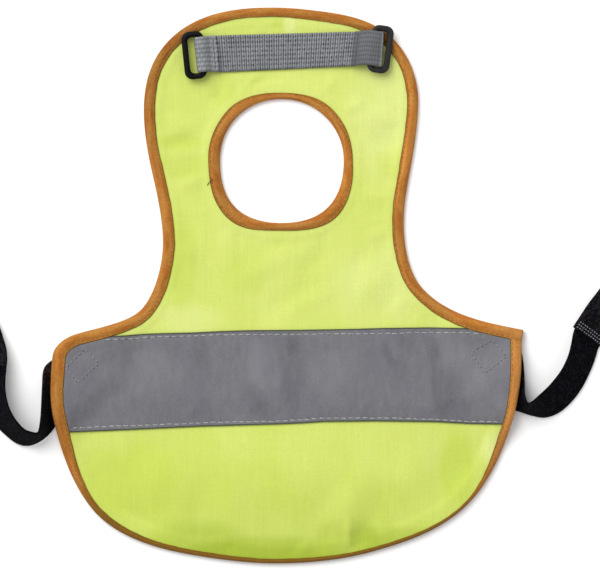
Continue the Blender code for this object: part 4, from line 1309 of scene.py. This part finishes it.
def black_tab():
    """Hook-and-loop tape: a close field of tiny loops on a woven ground."""
    finish = Finish("black_hook_and_loop", 0.9, {"Specular IOR Level": 0.05})
    cloth = finish.cloth()
    fuzz = finish.patches(cloth, (0.6, 0.6, 1.0), 4.0, 0.7)
    tufts = finish.patches(cloth, (1.7, 1.5, 1.0), 2.0, 0.7, 6.0)
    mottled = 0.12 + fuzz.between(0.42, 0.70) * 1.2 + tufts.between(0.44, 0.60) * 1.8
    finish.colour(finish.shade(TAB_BLACK, mottled))
    finish.relief(fuzz + tufts * 0.6, 0.2)
    return finish.material


def black_plastic():
    """Moulded plastic with a soft shine and a fine satin surface. The right ring is painted greyer, a
    painted highlight where it catches the light.
    """
    finish = Finish("black_moulded_plastic", 0.42, {"Specular IOR Level": 0.09})
    place = finish.place()
    grain = finish.patches(place, (0.294, 0.294, 0.294), 2.0, 0.6)
    worn = finish.patches(place, (4.0, 4.0, 4.0), 2.0, 0.5, 2.0)
    x, _, _ = finish.parts(place)
    # Painted highlight: the right ring lighter than the left
    base = finish.blend(x.between(-20.0, 20.0), PLASTIC_LEFT, PLASTIC_RIGHT_HIGHLIGHT)
    finish.colour(finish.shade(base, 0.6 + worn * 0.8))
    finish.roughness(0.36 + grain * 0.12 + (worn - 0.5) * 0.1)
    finish.relief(grain, 0.015)
    return finish.material


def thread(name, colour):
    """Twisted sewing thread."""
    finish = Finish(name, 0.6, {"Specular IOR Level": 0.2})
    place = finish.place()
    x, y, z = finish.parts(place)
    twist = finish.wave(x + y + z, 0.35)
    uneven = finish.patches(place, (3.5, 3.5, 3.5), 2.0, 0.5)
    finish.colour(finish.shade(colour, 0.45 + twist * 0.2 + uneven * 0.9))
    finish.relief(twist, 0.03)
    return finish.material


def floor_finish():
    finish = Finish("pale_floor", 0.9)
    place = finish.place()
    grain = finish.patches(place, (60.0, 60.0, 60.0), 2.0, 0.5)
    finish.colour(finish.shade(FLOOR_WHITE, 0.99 + grain * 0.02))
    return finish.material


def dress(piece, material):
    """Gives a piece its one finish."""
    piece.data.materials.clear()
    piece.data.materials.append(material)
    return piece


# Pieces

def add_panel():
    """The panel inside its bindings, and its area in plan."""
    outer, neck = OUTER_EDGE.loop(RIM_INSET), NECK_EDGE.loop(RIM_INSET)
    x, y = hexagon_grid(outer, PANEL_STEP)
    kept = inside(x, y, outer) & ~inside(x, y, neck)
    x, y = x[kept], y[kept]
    clear = np.minimum(loop_distance(x, y, outer), loop_distance(x, y, neck)) > PANEL_CLEAR
    extra = np.column_stack([x[clear], y[clear]])
    spots, triangles = triangulate([outer, neck], extra)
    under, top = panel_heights(spots[:, 0], spots[:, 1])
    piece = thick_sheet("vest_panel", spots, triangles, under, top, spots)
    return piece, plan_area(spots, triangles)


def tape_long_edge(rows, x, y):
    """One of the band's long edges, from left to right between the lines of its two ends."""
    over = y - value_at(rows, x)
    ends = []
    for side in (-1, 1):
        met = []
        for i in range(len(x) - 1):
            if x[i] * side > TAPE_REACH and (over[i] > 0) != (over[i + 1] > 0):
                share = over[i] / (over[i] - over[i + 1])
                met.append(x[i] + (x[i + 1] - x[i]) * share)
        ends.append(max(met, key=abs) if rows is TAPE_BOTTOM else min(met, key=abs))
    stations = np.linspace(*ends, round((ends[1] - ends[0]) / EDGE_STEP) + 1)
    return np.column_stack([stations, value_at(rows, stations)])


def tape_outline():
    """The band's outline: two long edges, and ends that follow the binding's inner edge."""
    x, y = OUTER_EDGE.at(OUTER_EDGE.distance[:-1], OUTER_EDGE.widths[:-1] + TAPE_TUCK)
    bottom, top = tape_long_edge(TAPE_BOTTOM, x, y), tape_long_edge(TAPE_TOP, x, y)
    low, high = value_at(TAPE_BOTTOM, x) + TAPE_END_CLEAR, value_at(TAPE_TOP, x) - TAPE_END_CLEAR
    ends = []
    for side in (-1, 1):
        kept = (x * side > TAPE_REACH) & (y > low) & (y < high)
        points = np.column_stack([x[kept], y[kept]])
        ends.append(points[np.argsort(points[:, 1])])
    return np.vstack([bottom, ends[1], top[::-1], ends[0][::-1]]), bottom, top


BAND_LOOP, BAND_BOTTOM, BAND_TOP = tape_outline()


def seam_height(seam, x):
    """The y of a seam along one of the band's edges."""
    rows, inset = seam
    return value_at(rows, x) + value_at(inset, x)


def seam_line(seam, aside=0.0):
    """Points along a seam, or this far beside it, that are within the band."""
    edge = BAND_TOP if seam[0] is TAPE_TOP else BAND_BOTTOM
    stations = np.arange(edge[0, 0] - SEAM_PAST, edge[-1, 0] + SEAM_PAST, LINE_STEP)
    line = np.column_stack([stations, seam_height(seam, stations) + aside])
    return line[well_inside(line[:, 0], line[:, 1])]


def well_inside(x, y):
    """Whether points are in the band and clear of its rim."""
    return inside(x, y, BAND_LOOP) & (loop_distance(x, y, BAND_LOOP) > TAPE_CLEAR)


def add_tape():
    """The band, with closer points along its two seams, where the stitches press it."""
    x, y = hexagon_grid(BAND_LOOP, TAPE_STEP)
    lines = []
    near_line = np.zeros(len(x), dtype=bool)
    for seam in BAND_SEAMS:
        lines += [seam_line(seam, aside) for aside in (-SEAM_SIDE, 0.0, SEAM_SIDE)]
        near_line |= abs(y - seam_height(seam, x)) < SEAM_CLEAR
    lines = np.vstack(lines)
    x = np.concatenate([x[~near_line], lines[:, 0]])
    y = np.concatenate([y[~near_line], lines[:, 1]])
    kept = well_inside(x, y)
    spots, triangles = triangulate([BAND_LOOP], np.column_stack([x[kept], y[kept]]))
    x, y = spots[:, 0], spots[:, 1]
    under = panel_heights(x, y)[1] + TAPE_LIFT
    top = np.maximum(on_tape(x, y), under + TAPE_LEAST)
    low, high = value_at(TAPE_BOTTOM, x), value_at(TAPE_TOP, x)
    cloth = np.column_stack([x, (y - low) / (high - low) * BAND_WIDE])
    piece = thick_sheet("reflective_band", spots, triangles, under, top, cloth)
    return piece, plan_area(spots, triangles)


def band_dimple(x, y):
    """The groove that the stitching presses into the band, deeper at each stitch's ends."""
    depth = np.zeros(np.shape(x))
    for seam in BAND_SEAMS:
        away = y - seam_height(seam, x)
        pulled = DIMPLE_DEEP + DIMPLE_PULL * np.cos(TURN * x / DIMPLE_PITCH)
        depth += pulled * np.exp(-((away / DIMPLE_WIDE) ** 2))
    return depth


def on_tape(x, y):
    """The band's top, with the grooves along its seams."""
    ripple = np.maximum(crease_height(x, y, TAPE_CREASES), -TAPE_TROUGH)
    return panel_heights(x, y)[1] + TAPE_LIFT + TAPE_THICK + ripple - band_dimple(x, y)


def loop_profile(row):
    """One end of the webbing, from its flap's tip to where it is flat: distance inwards from the
    held bar's axis, and height of its middle surface."""
    eye = RING_BAR / 2 + BAR_PLAY + WEB_THICK / 2
    eye_at = -(row.fold_reach - eye - WEB_THICK / 2)
    tip = row.flap - row.fold_reach
    flap_z = row.web_z + WEB_THICK + SEAM_GAP
    top = row.bar_z + eye
    bend, bend_z = tip - FLAP_BEND, flap_z + FLAP_LIFT
    profile = [
        (tip, flap_z),
        (tip - FLAP_FLAT, flap_z),
        (bend, bend_z),
        (bend * RISE_PART + RISE_SHIFT, bend_z * (1 - RISE_SHARE) + top * RISE_SHARE),
        (FOLD_TOP, top),
    ]
    for degrees in range(90, 271, 30):
        turn = math.radians(degrees)
        profile.append((eye_at + eye * math.cos(turn), row.bar_z + eye * math.sin(turn)))
    profile.append((tip / 2, row.web_z))
    return profile


def webbing_place(distance):
    """A spot along the webbing's middle in plan, and its lean in degrees."""
    if distance < 0:
        return WEB_START + heading_vector(RING_LEFT.lean) * distance, RING_LEFT.lean
    if distance > WEB_SPAN:
        past = distance - WEB_SPAN
        return WEB_END + heading_vector(RING_RIGHT.lean) * past, RING_RIGHT.lean
    share = distance / WEB_SPAN
    lean = RING_LEFT.lean + (RING_RIGHT.lean - RING_LEFT.lean) * share
    spot = WEB_START + (WEB_END - WEB_START) * share
    for row, inward, way in ((RING_LEFT, distance, 1), (RING_RIGHT, WEB_SPAN - distance, -1)):
        in_line = np.array((row.x, row.y)) + heading_vector(row.lean) * way * inward
        spot = spot + (in_line - spot) * (1 - smooth_step(inward / WEB_TURN))
    return spot, lean


def smooth_line(points, spacing):
    """A soft line through the points, with spots this far apart."""
    points = np.asarray(points, dtype=float)
    padded = np.vstack([2 * points[0] - points[1], points, 2 * points[-1] - points[-2]])
    found = []
    for index in range(1, len(padded) - 2):
        a, b, c, d = padded[index - 1 : index + 3]
        t = np.linspace(0, 1, CURVE_STEPS, endpoint=False)[:, None]
        near = np.linalg.norm(c - b)
        slope_in, slope_out = unit(c - a) * near, unit(d - b) * near
        h00, h10 = 2 * t**3 - 3 * t**2 + 1, t**3 - 2 * t**2 + t
        h01, h11 = -2 * t**3 + 3 * t**2, t**3 - t**2
        found.append(h00 * b + h10 * slope_in + h01 * c + h11 * slope_out)
    found.append(points[-1:])
    line = np.vstack(found)
    distance = distances(line)
    stations = np.linspace(0, distance[-1], round(distance[-1] / spacing) + 1)
    return spot_at(stations, distance, line).T


def webbing_weave(along, across):
    """How far the webbing's faces swell: ribs across it, and troughs along it between its rows."""
    ribs = np.sin(TURN * along / WEB_RIB)
    rows = np.sin(TURN * across / WEB_ROW)
    return RIB_RISE * ribs - ROW_SINK * (rows + 1)


def webbing_row(distance, z, place, columns):
    """Points across the webbing. place is how far along its cloth they are."""
    centre, lean = webbing_place(distance)
    across = heading_vector(lean + 90)
    half = WEB_WIDE / 2 + WEB_SCALLOP * math.sin(TURN * place / WEB_RIB) + value_at(WEB_SWELL, place)
    skew = heading_vector(lean) * smooth_step((distance - WEB_SPAN) / RING_RIGHT.fold_reach)
    aside = columns[:, None]
    spots = centre + across * aside * half + skew * (FLAP_SKEW - FLAP_SLANT * aside)
    return np.column_stack([spots, np.full(len(columns), z)])


def add_webbing():
    """The webbing from the left flap's ragged tip to the right flap's."""
    path = loop_profile(RING_LEFT)
    path += [(WEB_RISE_LEFT, WEB_REST), (WEB_SPAN / 2, WEB_REST), (WEB_SPAN - WEB_RISE_RIGHT, WEB_REST)]
    path += [(WEB_SPAN - inward, z) for inward, z in reversed(loop_profile(RING_RIGHT))]
    line = smooth_line(path, WEB_STEP)
    along = distances(line)
    columns = np.linspace(-1, 1, WEB_COLUMNS)
    grid = np.array([webbing_row(*spot, place, columns) for spot, place in zip(line, along)])
    ragged = CHANCE.uniform(-WEB_RAGGED, WEB_RAGGED, len(columns))
    way = np.append(heading_vector(RING_LEFT.lean), 0.0)
    for index, share in enumerate((1, 2 / 3, 1 / 3)):
        grid[index] += ragged[:, None] * way * share
    piece = ribbon("chest_webbing_strap", grid, WEB_THICK, RIBBON_EDGE, webbing_weave)
    return piece, float(along[-1])


def between_rows(rows, steps):
    """Smooth values from row to row: each value follows a curve through its neighbours."""
    values = np.array([row[1:] for row in rows])
    padded = np.vstack([values[:1], values, values[-1:]])
    found = []
    for index in range(1, len(padded) - 2):
        a, b, c, d = padded[index - 1 : index + 3]
        slope_in, slope_out = (c - a) / 2, (d - b) / 2
        bend = 2 * b - 2 * c + slope_in + slope_out
        swing = 3 * c - 3 * b - 2 * slope_in - slope_out
        for step in range(steps):
            t = step / steps
            found.append(b + slope_in * t + swing * t * t + bend * t**3)
    found.append(values[-1])
    return np.array(found)


def strap_grid(rows, thickness, steps):
    """Middle points of a strap, rows along it and columns from its lower edge to its upper."""
    grid = []
    for low_x, low_y, high_x, high_y, rise, bend in between_rows(rows, steps):
        share = np.linspace(0, 1, STRAP_COLUMNS)
        lift = max(rise, 0.0) * share ** max(bend, 1.0)
        x = low_x + (high_x - low_x) * share
        y = low_y + (high_y - low_y) * share
        grid.append(np.column_stack([x, y, STRAP_CLEAR + thickness / 2 + lift]))
    return np.array(grid)


def grid_size(grid):
    """Width and length in metres of a strip's cut."""
    middle = grid[:, grid.shape[1] // 2]
    long = float(np.linalg.norm(np.diff(middle, axis=0), axis=1).sum())
    wide = float(np.linalg.norm(np.diff(grid, axis=1), axis=2).sum(axis=1).mean())
    return wide * MM, long * MM


def add_ring(row, outward):
    """A moulded rectangular ring: a block with a window cut through it, and rounded all over."""
    bpy.ops.object.select_all(action="DESELECT")
    bpy.ops.mesh.primitive_cube_add(size=1.0, location=(0, 0, 0))
    ring = bpy.context.object
    ring.name = ring.data.name = "plastic_" + row.name
    bpy.ops.object.mode_set(mode="EDIT")
    bpy.ops.mesh.select_all(action="SELECT")
    bpy.ops.transform.resize(value=(RING_WIDE * MM, RING_LONG * MM, RING_BAR * MM))
    bpy.ops.mesh.select_mode(type="FACE")
    pick(ring, "faces", level)
    bpy.ops.mesh.inset(thickness=RING_BAR * MM)
    pick(ring, "faces", window_end)
    bpy.ops.mesh.bridge_edge_loops()
    bpy.ops.mesh.select_mode(type="EDGE")
    pick(ring, "edges", outer_corner)
    bpy.ops.mesh.bevel(offset=RING_CORNER * MM, segments=8, affect="EDGES")
    pick(ring, "edges", lambda edge: window_corner(edge, outward))
    bpy.ops.mesh.bevel(offset=WINDOW_CORNER * MM, segments=6, affect="EDGES")
    pick(ring, "edges", lambda edge: window_corner(edge, -outward))
    bpy.ops.mesh.bevel(offset=WINDOW_HELD_CORNER * MM, segments=4, affect="EDGES")
    pick(ring, "edges", lambda edge: len(edge.link_faces) == 2 and edge.calc_face_angle() > SHARP_EDGE)
    bpy.ops.mesh.bevel(offset=RING_EDGE * MM, segments=4, affect="EDGES", loop_slide=False)
    bpy.ops.object.mode_set(mode="OBJECT")
    bpy.ops.object.shade_smooth()
    place_ring(ring, row, outward)
    return ring


def place_ring(ring, row, outward):
    """Leans a ring out over the cloth, with its held bar where the webbing's fold holds it."""
    tilt = math.asin(row.drop / (RING_WIDE - RING_BAR)) * outward
    lean = math.radians(row.lean)
    reach = (RING_WIDE - RING_BAR) / 2 * outward
    ring.rotation_euler = (0.0, tilt, lean)
    x = row.x + reach * math.cos(tilt) * math.cos(lean)
    y = row.y + reach * math.cos(tilt) * math.sin(lean)
    z = row.bar_z - abs(reach) * math.sin(abs(tilt))
    ring.location = (x * MM, y * MM, z * MM)
    bpy.ops.object.transform_apply(location=True, rotation=True, scale=True)
    ring.select_set(False)


def upright(edge):
    """Whether one of the ring's edges runs straight up."""
    ends = edge.verts[0].co - edge.verts[1].co
    plumb = max(abs(ends.x), abs(ends.y)) < PICK_PLUMB * MM
    return plumb and abs(ends.z) > PICK_LONG * MM


def level(face):
    return abs(face.normal.z) > LEVEL


def window_end(face):
    """Whether a face is the middle of the ring's top or underside, where the window opens."""
    return level(face) and face.calc_center_median().xy.length < PICK_MIDDLE * MM


def outer_corner(edge):
    return upright(edge) and abs(edge.verts[0].co.x) > (RING_WIDE / 2 - PICK_OUTER) * MM


def window_corner(edge, side):
    """Whether an edge is a corner of the ring's window, on the side that this sign gives."""
    spot = edge.verts[0].co
    at_side = abs(spot.x * side - (RING_WIDE / 2 - RING_BAR) * MM) < PICK_NEAR * MM
    at_end = abs(abs(spot.y) - (RING_LONG / 2 - RING_BAR) * MM) < PICK_NEAR * MM
    return upright(edge) and at_side and at_end


def pick(piece, kind, wanted):
    """Selects only the faces or edges that are wanted, in edit mode."""
    bm = bmesh.from_edit_mesh(piece.data)
    for thing in list(bm.verts) + list(bm.edges) + list(bm.faces):
        thing.select = False
    for thing in getattr(bm, kind):
        if wanted(thing):
            thing.select_set(True)
    bmesh.update_edit_mesh(piece.data)


def add_loose_end():
    """The cut end of a thread beside the neck's binding."""
    path = smooth_line(LOOSE_PATH, LOOSE_STEP)
    turns = np.arange(LOOSE_SIDES)[:, None] / LOOSE_SIDES * TURN
    rings = []
    for spot, way in zip(path, unit(np.gradient(path, axis=0))):
        side = unit(np.cross(way, (0, 0, 1.0)))
        up = np.cross(side, way)
        rings.append(spot + LOOSE_HALF * (side * np.cos(turns) + up * np.sin(turns)))
    along = np.arange(len(rings)) * LOOSE_STEP
    around = np.arange(LOOSE_SIDES + 1) * LOOSE_HALF
    return skin("loose_thread_end", np.array(rings), along, around, closed=False)


def straight_runs(corners, kind):
    """Stitches along the straight lines from corner to corner."""
    runs = []
    for start, end in zip(corners, corners[1:]):
        runs += stitch_run(np.array((start, end), dtype=float), kind)
    return runs


def add_band_stitches():
    runs = []
    for seam in BAND_SEAMS:
        runs += stitch_run(seam_line(seam), BAND_STITCH)
    return add_stitches("band_stitches", runs, on_tape, BAND_STITCH)


def add_diamond(name, corners):
    return add_stitches(name, straight_runs(corners, DIAMOND_STITCH), on_tape, DIAMOND_STITCH)


def add_needle_holes():
    """Small dark marks beside the diamonds' stitches and the band's, painted shade of the dips where the
    thread goes down.
    """
    runs = []
    for corners in (DIAMOND_LEFT, DIAMOND_RIGHT):
        moved = [(x + HOLE_ASIDE, y - HOLE_ASIDE) for x, y in corners]
        runs += straight_runs(moved, DIAMOND_HOLE)
    for seam, aside in zip(BAND_SEAMS, (-HOLE_ASIDE, HOLE_ASIDE)):
        marks = stitch_run(seam_line(seam, aside), BAND_HOLE)
        runs += [mark for mark in marks if CHANCE.random() < HOLE_SHARE]
    return add_stitches("needle_holes", runs, on_tape, BAND_HOLE)


def add_binding_stitches(name, edge):
    """Stitches in the groove along a binding, where enough of it shows on top."""
    row = next(row for row in SECTION if row.name == "stitching")
    distance = np.arange(edge.first_end + BINDING_START, edge.last_end - BINDING_STOP, LINE_STEP)
    width = edge.along(edge.widths, distance)
    spots = np.column_stack(edge.strip(distance, row.share * width))
    shown = np.concatenate([[0], width > BINDING_SHOWN, [0]])
    starts, ends = np.flatnonzero(np.diff(shown) > 0), np.flatnonzero(np.diff(shown) < 0)
    runs = []
    for start, end in zip(starts, ends):
        runs += stitch_run(spots[start:end], BINDING_STITCH)

    def groove(x, y):
        return stand_off(x, y) + row.height + STITCH_LIFT

    return add_stitches(name, runs, groove, BINDING_STITCH)


def add_tab_stitches(name, grid):
    """Three rows across a tab's sewn end, set close together."""
    normals = unit(np.cross(np.gradient(grid, axis=0), np.gradient(grid, axis=1)))
    if normals[..., 2].mean() < 0:
        normals = -normals
    columns = range(grid.shape[1])
    along = distances(grid[:, grid.shape[1] // 2])
    half = TAB_STITCH.pitch * TAB_STITCH.share / 2
    centres, ways = [], []
    for row in TAB_ROWS:
        line = np.array([spot_at(row, along, grid[:, column]) for column in columns])
        up = np.array([spot_at(row, along, normals[:, column]) for column in columns])
        across = distances(line)
        for place in np.arange(TAB_FIRST, across[-1] - TAB_LAST, TAB_STITCH.pitch):
            place = place + CHANCE.uniform(-1, 1) * TAB_STITCH.wander
            normal = unit(spot_at(place, across, up))
            centres.append(spot_at(place, across, line) + normal * (TAB_THICK / 2 + STITCH_LIFT))
            ways.append(spot_at(place + half, across, line) - spot_at(place - half, across, line))
    return stitch_piece(name, centres, ways, [TAB_STITCH_LONG] * len(centres), TAB_STITCH)


def add_flap_stitches(name, row, start, inward):
    """A row across a webbing flap, near its cut end."""
    height = row.web_z + WEB_THICK + SEAM_GAP + WEB_THICK / 2
    centre, lean = webbing_place(start + inward * (row.flap - row.fold_reach - FLAP_ROW))
    half = heading_vector(lean + 90) * (WEB_WIDE / 2 - FLAP_ROW_CLEAR)
    runs = stitch_run(np.array([centre - half, centre + half]), FLAP_STITCH)
    return add_stitches(name, runs, lambda x, y: 0 * x + height + 2 * STITCH_LIFT, FLAP_STITCH)


# Stage

def add_stage():
    bpy.ops.object.select_all(action="DESELECT")
    bpy.ops.mesh.primitive_plane_add(size=FLOOR_SIZE, location=(0, 0, 0))
    floor = bpy.context.object
    floor.name = "floor"
    dress(floor, floor_finish())
    world = bpy.data.worlds.new("studio")
    bpy.context.scene.world = world
    world.use_nodes = True
    sky = world.node_tree.nodes["Background"]
    sky.inputs["Color"].default_value = (1.0, 1.0, 1.0, 1.0)
    sky.inputs["Strength"].default_value = SKY_STRENGTH
    add_lamp()


def add_lamp():
    """A soft square lamp that points at the vest's middle."""
    lamp = bpy.data.lights.new("key", "AREA")
    lamp.size = KEY_SIZE
    lamp.energy = KEY_POWER
    made = bpy.data.objects.new("key", lamp)
    bpy.context.collection.objects.link(made)
    x, y, z = KEY_PLACE
    made.location = KEY_PLACE
    made.rotation_euler = (math.atan2(math.hypot(x, y), z), 0.0, math.atan2(x, -y))
    made.visible_camera = False


def add_camera():
    """Straight above the vest, far enough away that the bib and the hem look alike in scale."""
    view = bpy.data.cameras.new("camera")
    view.sensor_width = SENSOR
    view.lens = SENSOR * CAMERA_HEIGHT / VIEW_WIDTH
    view.clip_end = FAR_END
    made = bpy.data.objects.new("camera", view)
    made.location = (CAMERA_SPOT[0] * MM, CAMERA_SPOT[1] * MM, CAMERA_HEIGHT)
    bpy.context.collection.objects.link(made)
    bpy.context.scene.camera = made
    bpy.context.scene.view_settings.view_transform = "Standard"


def add_stitching(threads):
    """The rows of stitches, the loose end and the needle holes, each with its thread's finish."""
    made = {
        "band": (add_band_stitches(), "pale_grey_thread"),
        "diamond_left": (add_diamond("diamond_stitches_left", DIAMOND_LEFT), "grey_diamond_thread"),
        "diamond_right": (add_diamond("diamond_stitches_right", DIAMOND_RIGHT), "grey_diamond_thread"),
        "edge": (add_binding_stitches("edge_stitches", OUTER_EDGE), "orange_thread"),
        "neck": (add_binding_stitches("neck_stitches", NECK_EDGE), "orange_thread"),
        "flap_left": (add_flap_stitches("flap_stitches_left", RING_LEFT, 0.0, 1), "grey_thread"),
        "flap_right": (add_flap_stitches("flap_stitches_right", RING_RIGHT, WEB_SPAN, -1), "grey_thread"),
        "loose_end": (add_loose_end(), "dark_thread"),
        "holes": (add_needle_holes(), "needle_hole_grey"),
    }
    return {name: dress(piece, threads[finish]) for name, (piece, finish) in made.items()}


def add_strap(side, strap_rows, tab_rows, finishes):
    """A strap with the tab at its end and the tab's stitches, and the sizes of the two cuts."""
    elastic, hooks, tab_thread = finishes
    grid = strap_grid(strap_rows, STRAP_THICK, STRAP_STEPS)
    strap = dress(ribbon("elastic_strap_" + side, grid, STRAP_THICK, STRAP_EDGE), elastic)
    tab_grid = strap_grid(tab_rows, TAB_THICK, TAB_STEPS)
    tab = dress(ribbon("hook_tab_" + side, tab_grid, TAB_THICK, TAB_EDGE), hooks)
    stitches = dress(add_tab_stitches("tab_stitches_" + side, tab_grid), tab_thread)
    return strap, grid_size(grid), tab, grid_size(tab_grid), stitches


def stand_for(node):
    """Hides the solid whose place a piece takes."""
    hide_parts(node)


def declare_strap(side, strap, strap_size, tab, tab_size, stitches):
    for piece in (strap, tab, stitches):
        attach(piece, "vest")
    stand_for("strap_" + side)
    stand_for("tab_" + side)


def main():
    add_camera()
    add_stage()
    yellow, orange, silver = yellow_cloth(), orange_binding(), reflective_grey()
    webbing_grey, elastic, hooks, plastic = grey_webbing(), black_elastic(), black_tab(), black_plastic()
    threads = {name: thread(name, colour) for name, colour in THREADS.items()}

    panel, panel_area = add_panel()
    edge = dress(add_binding("edge_binding_strip", OUTER_EDGE), orange)
    neck = dress(add_binding("neck_binding_strip", NECK_EDGE), orange)
    tape, tape_area = add_tape()
    webbing, webbing_long = add_webbing()
    for piece, finish in ((panel, yellow), (tape, silver), (webbing, webbing_grey)):
        dress(piece, finish)
    rings = [dress(add_ring(RING_LEFT, -1), plastic), dress(add_ring(RING_RIGHT, 1), plastic)]
    sewn = add_stitching(threads)
    left = add_strap("left", STRAP_LEFT, TAB_LEFT, (elastic, hooks, threads["black_tab_thread"]))
    right = add_strap("right", STRAP_RIGHT, TAB_RIGHT, (elastic, hooks, threads["grey_tab_thread"]))

    for piece in (panel, edge, neck, tape, webbing, *sewn.values()):
        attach(piece, "vest")
    stand_for("body_panel")
    stand_for("edge_binding")
    stand_for("neck_binding")
    stand_for("reflective_tape")
    stand_for("chest_webbing")
    for ring, row in zip(rings, (RING_LEFT, RING_RIGHT)):
        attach(ring, row.name)
        stand_for(row.name)
    declare_strap("left", *left)
    declare_strap("right", *right)


main()
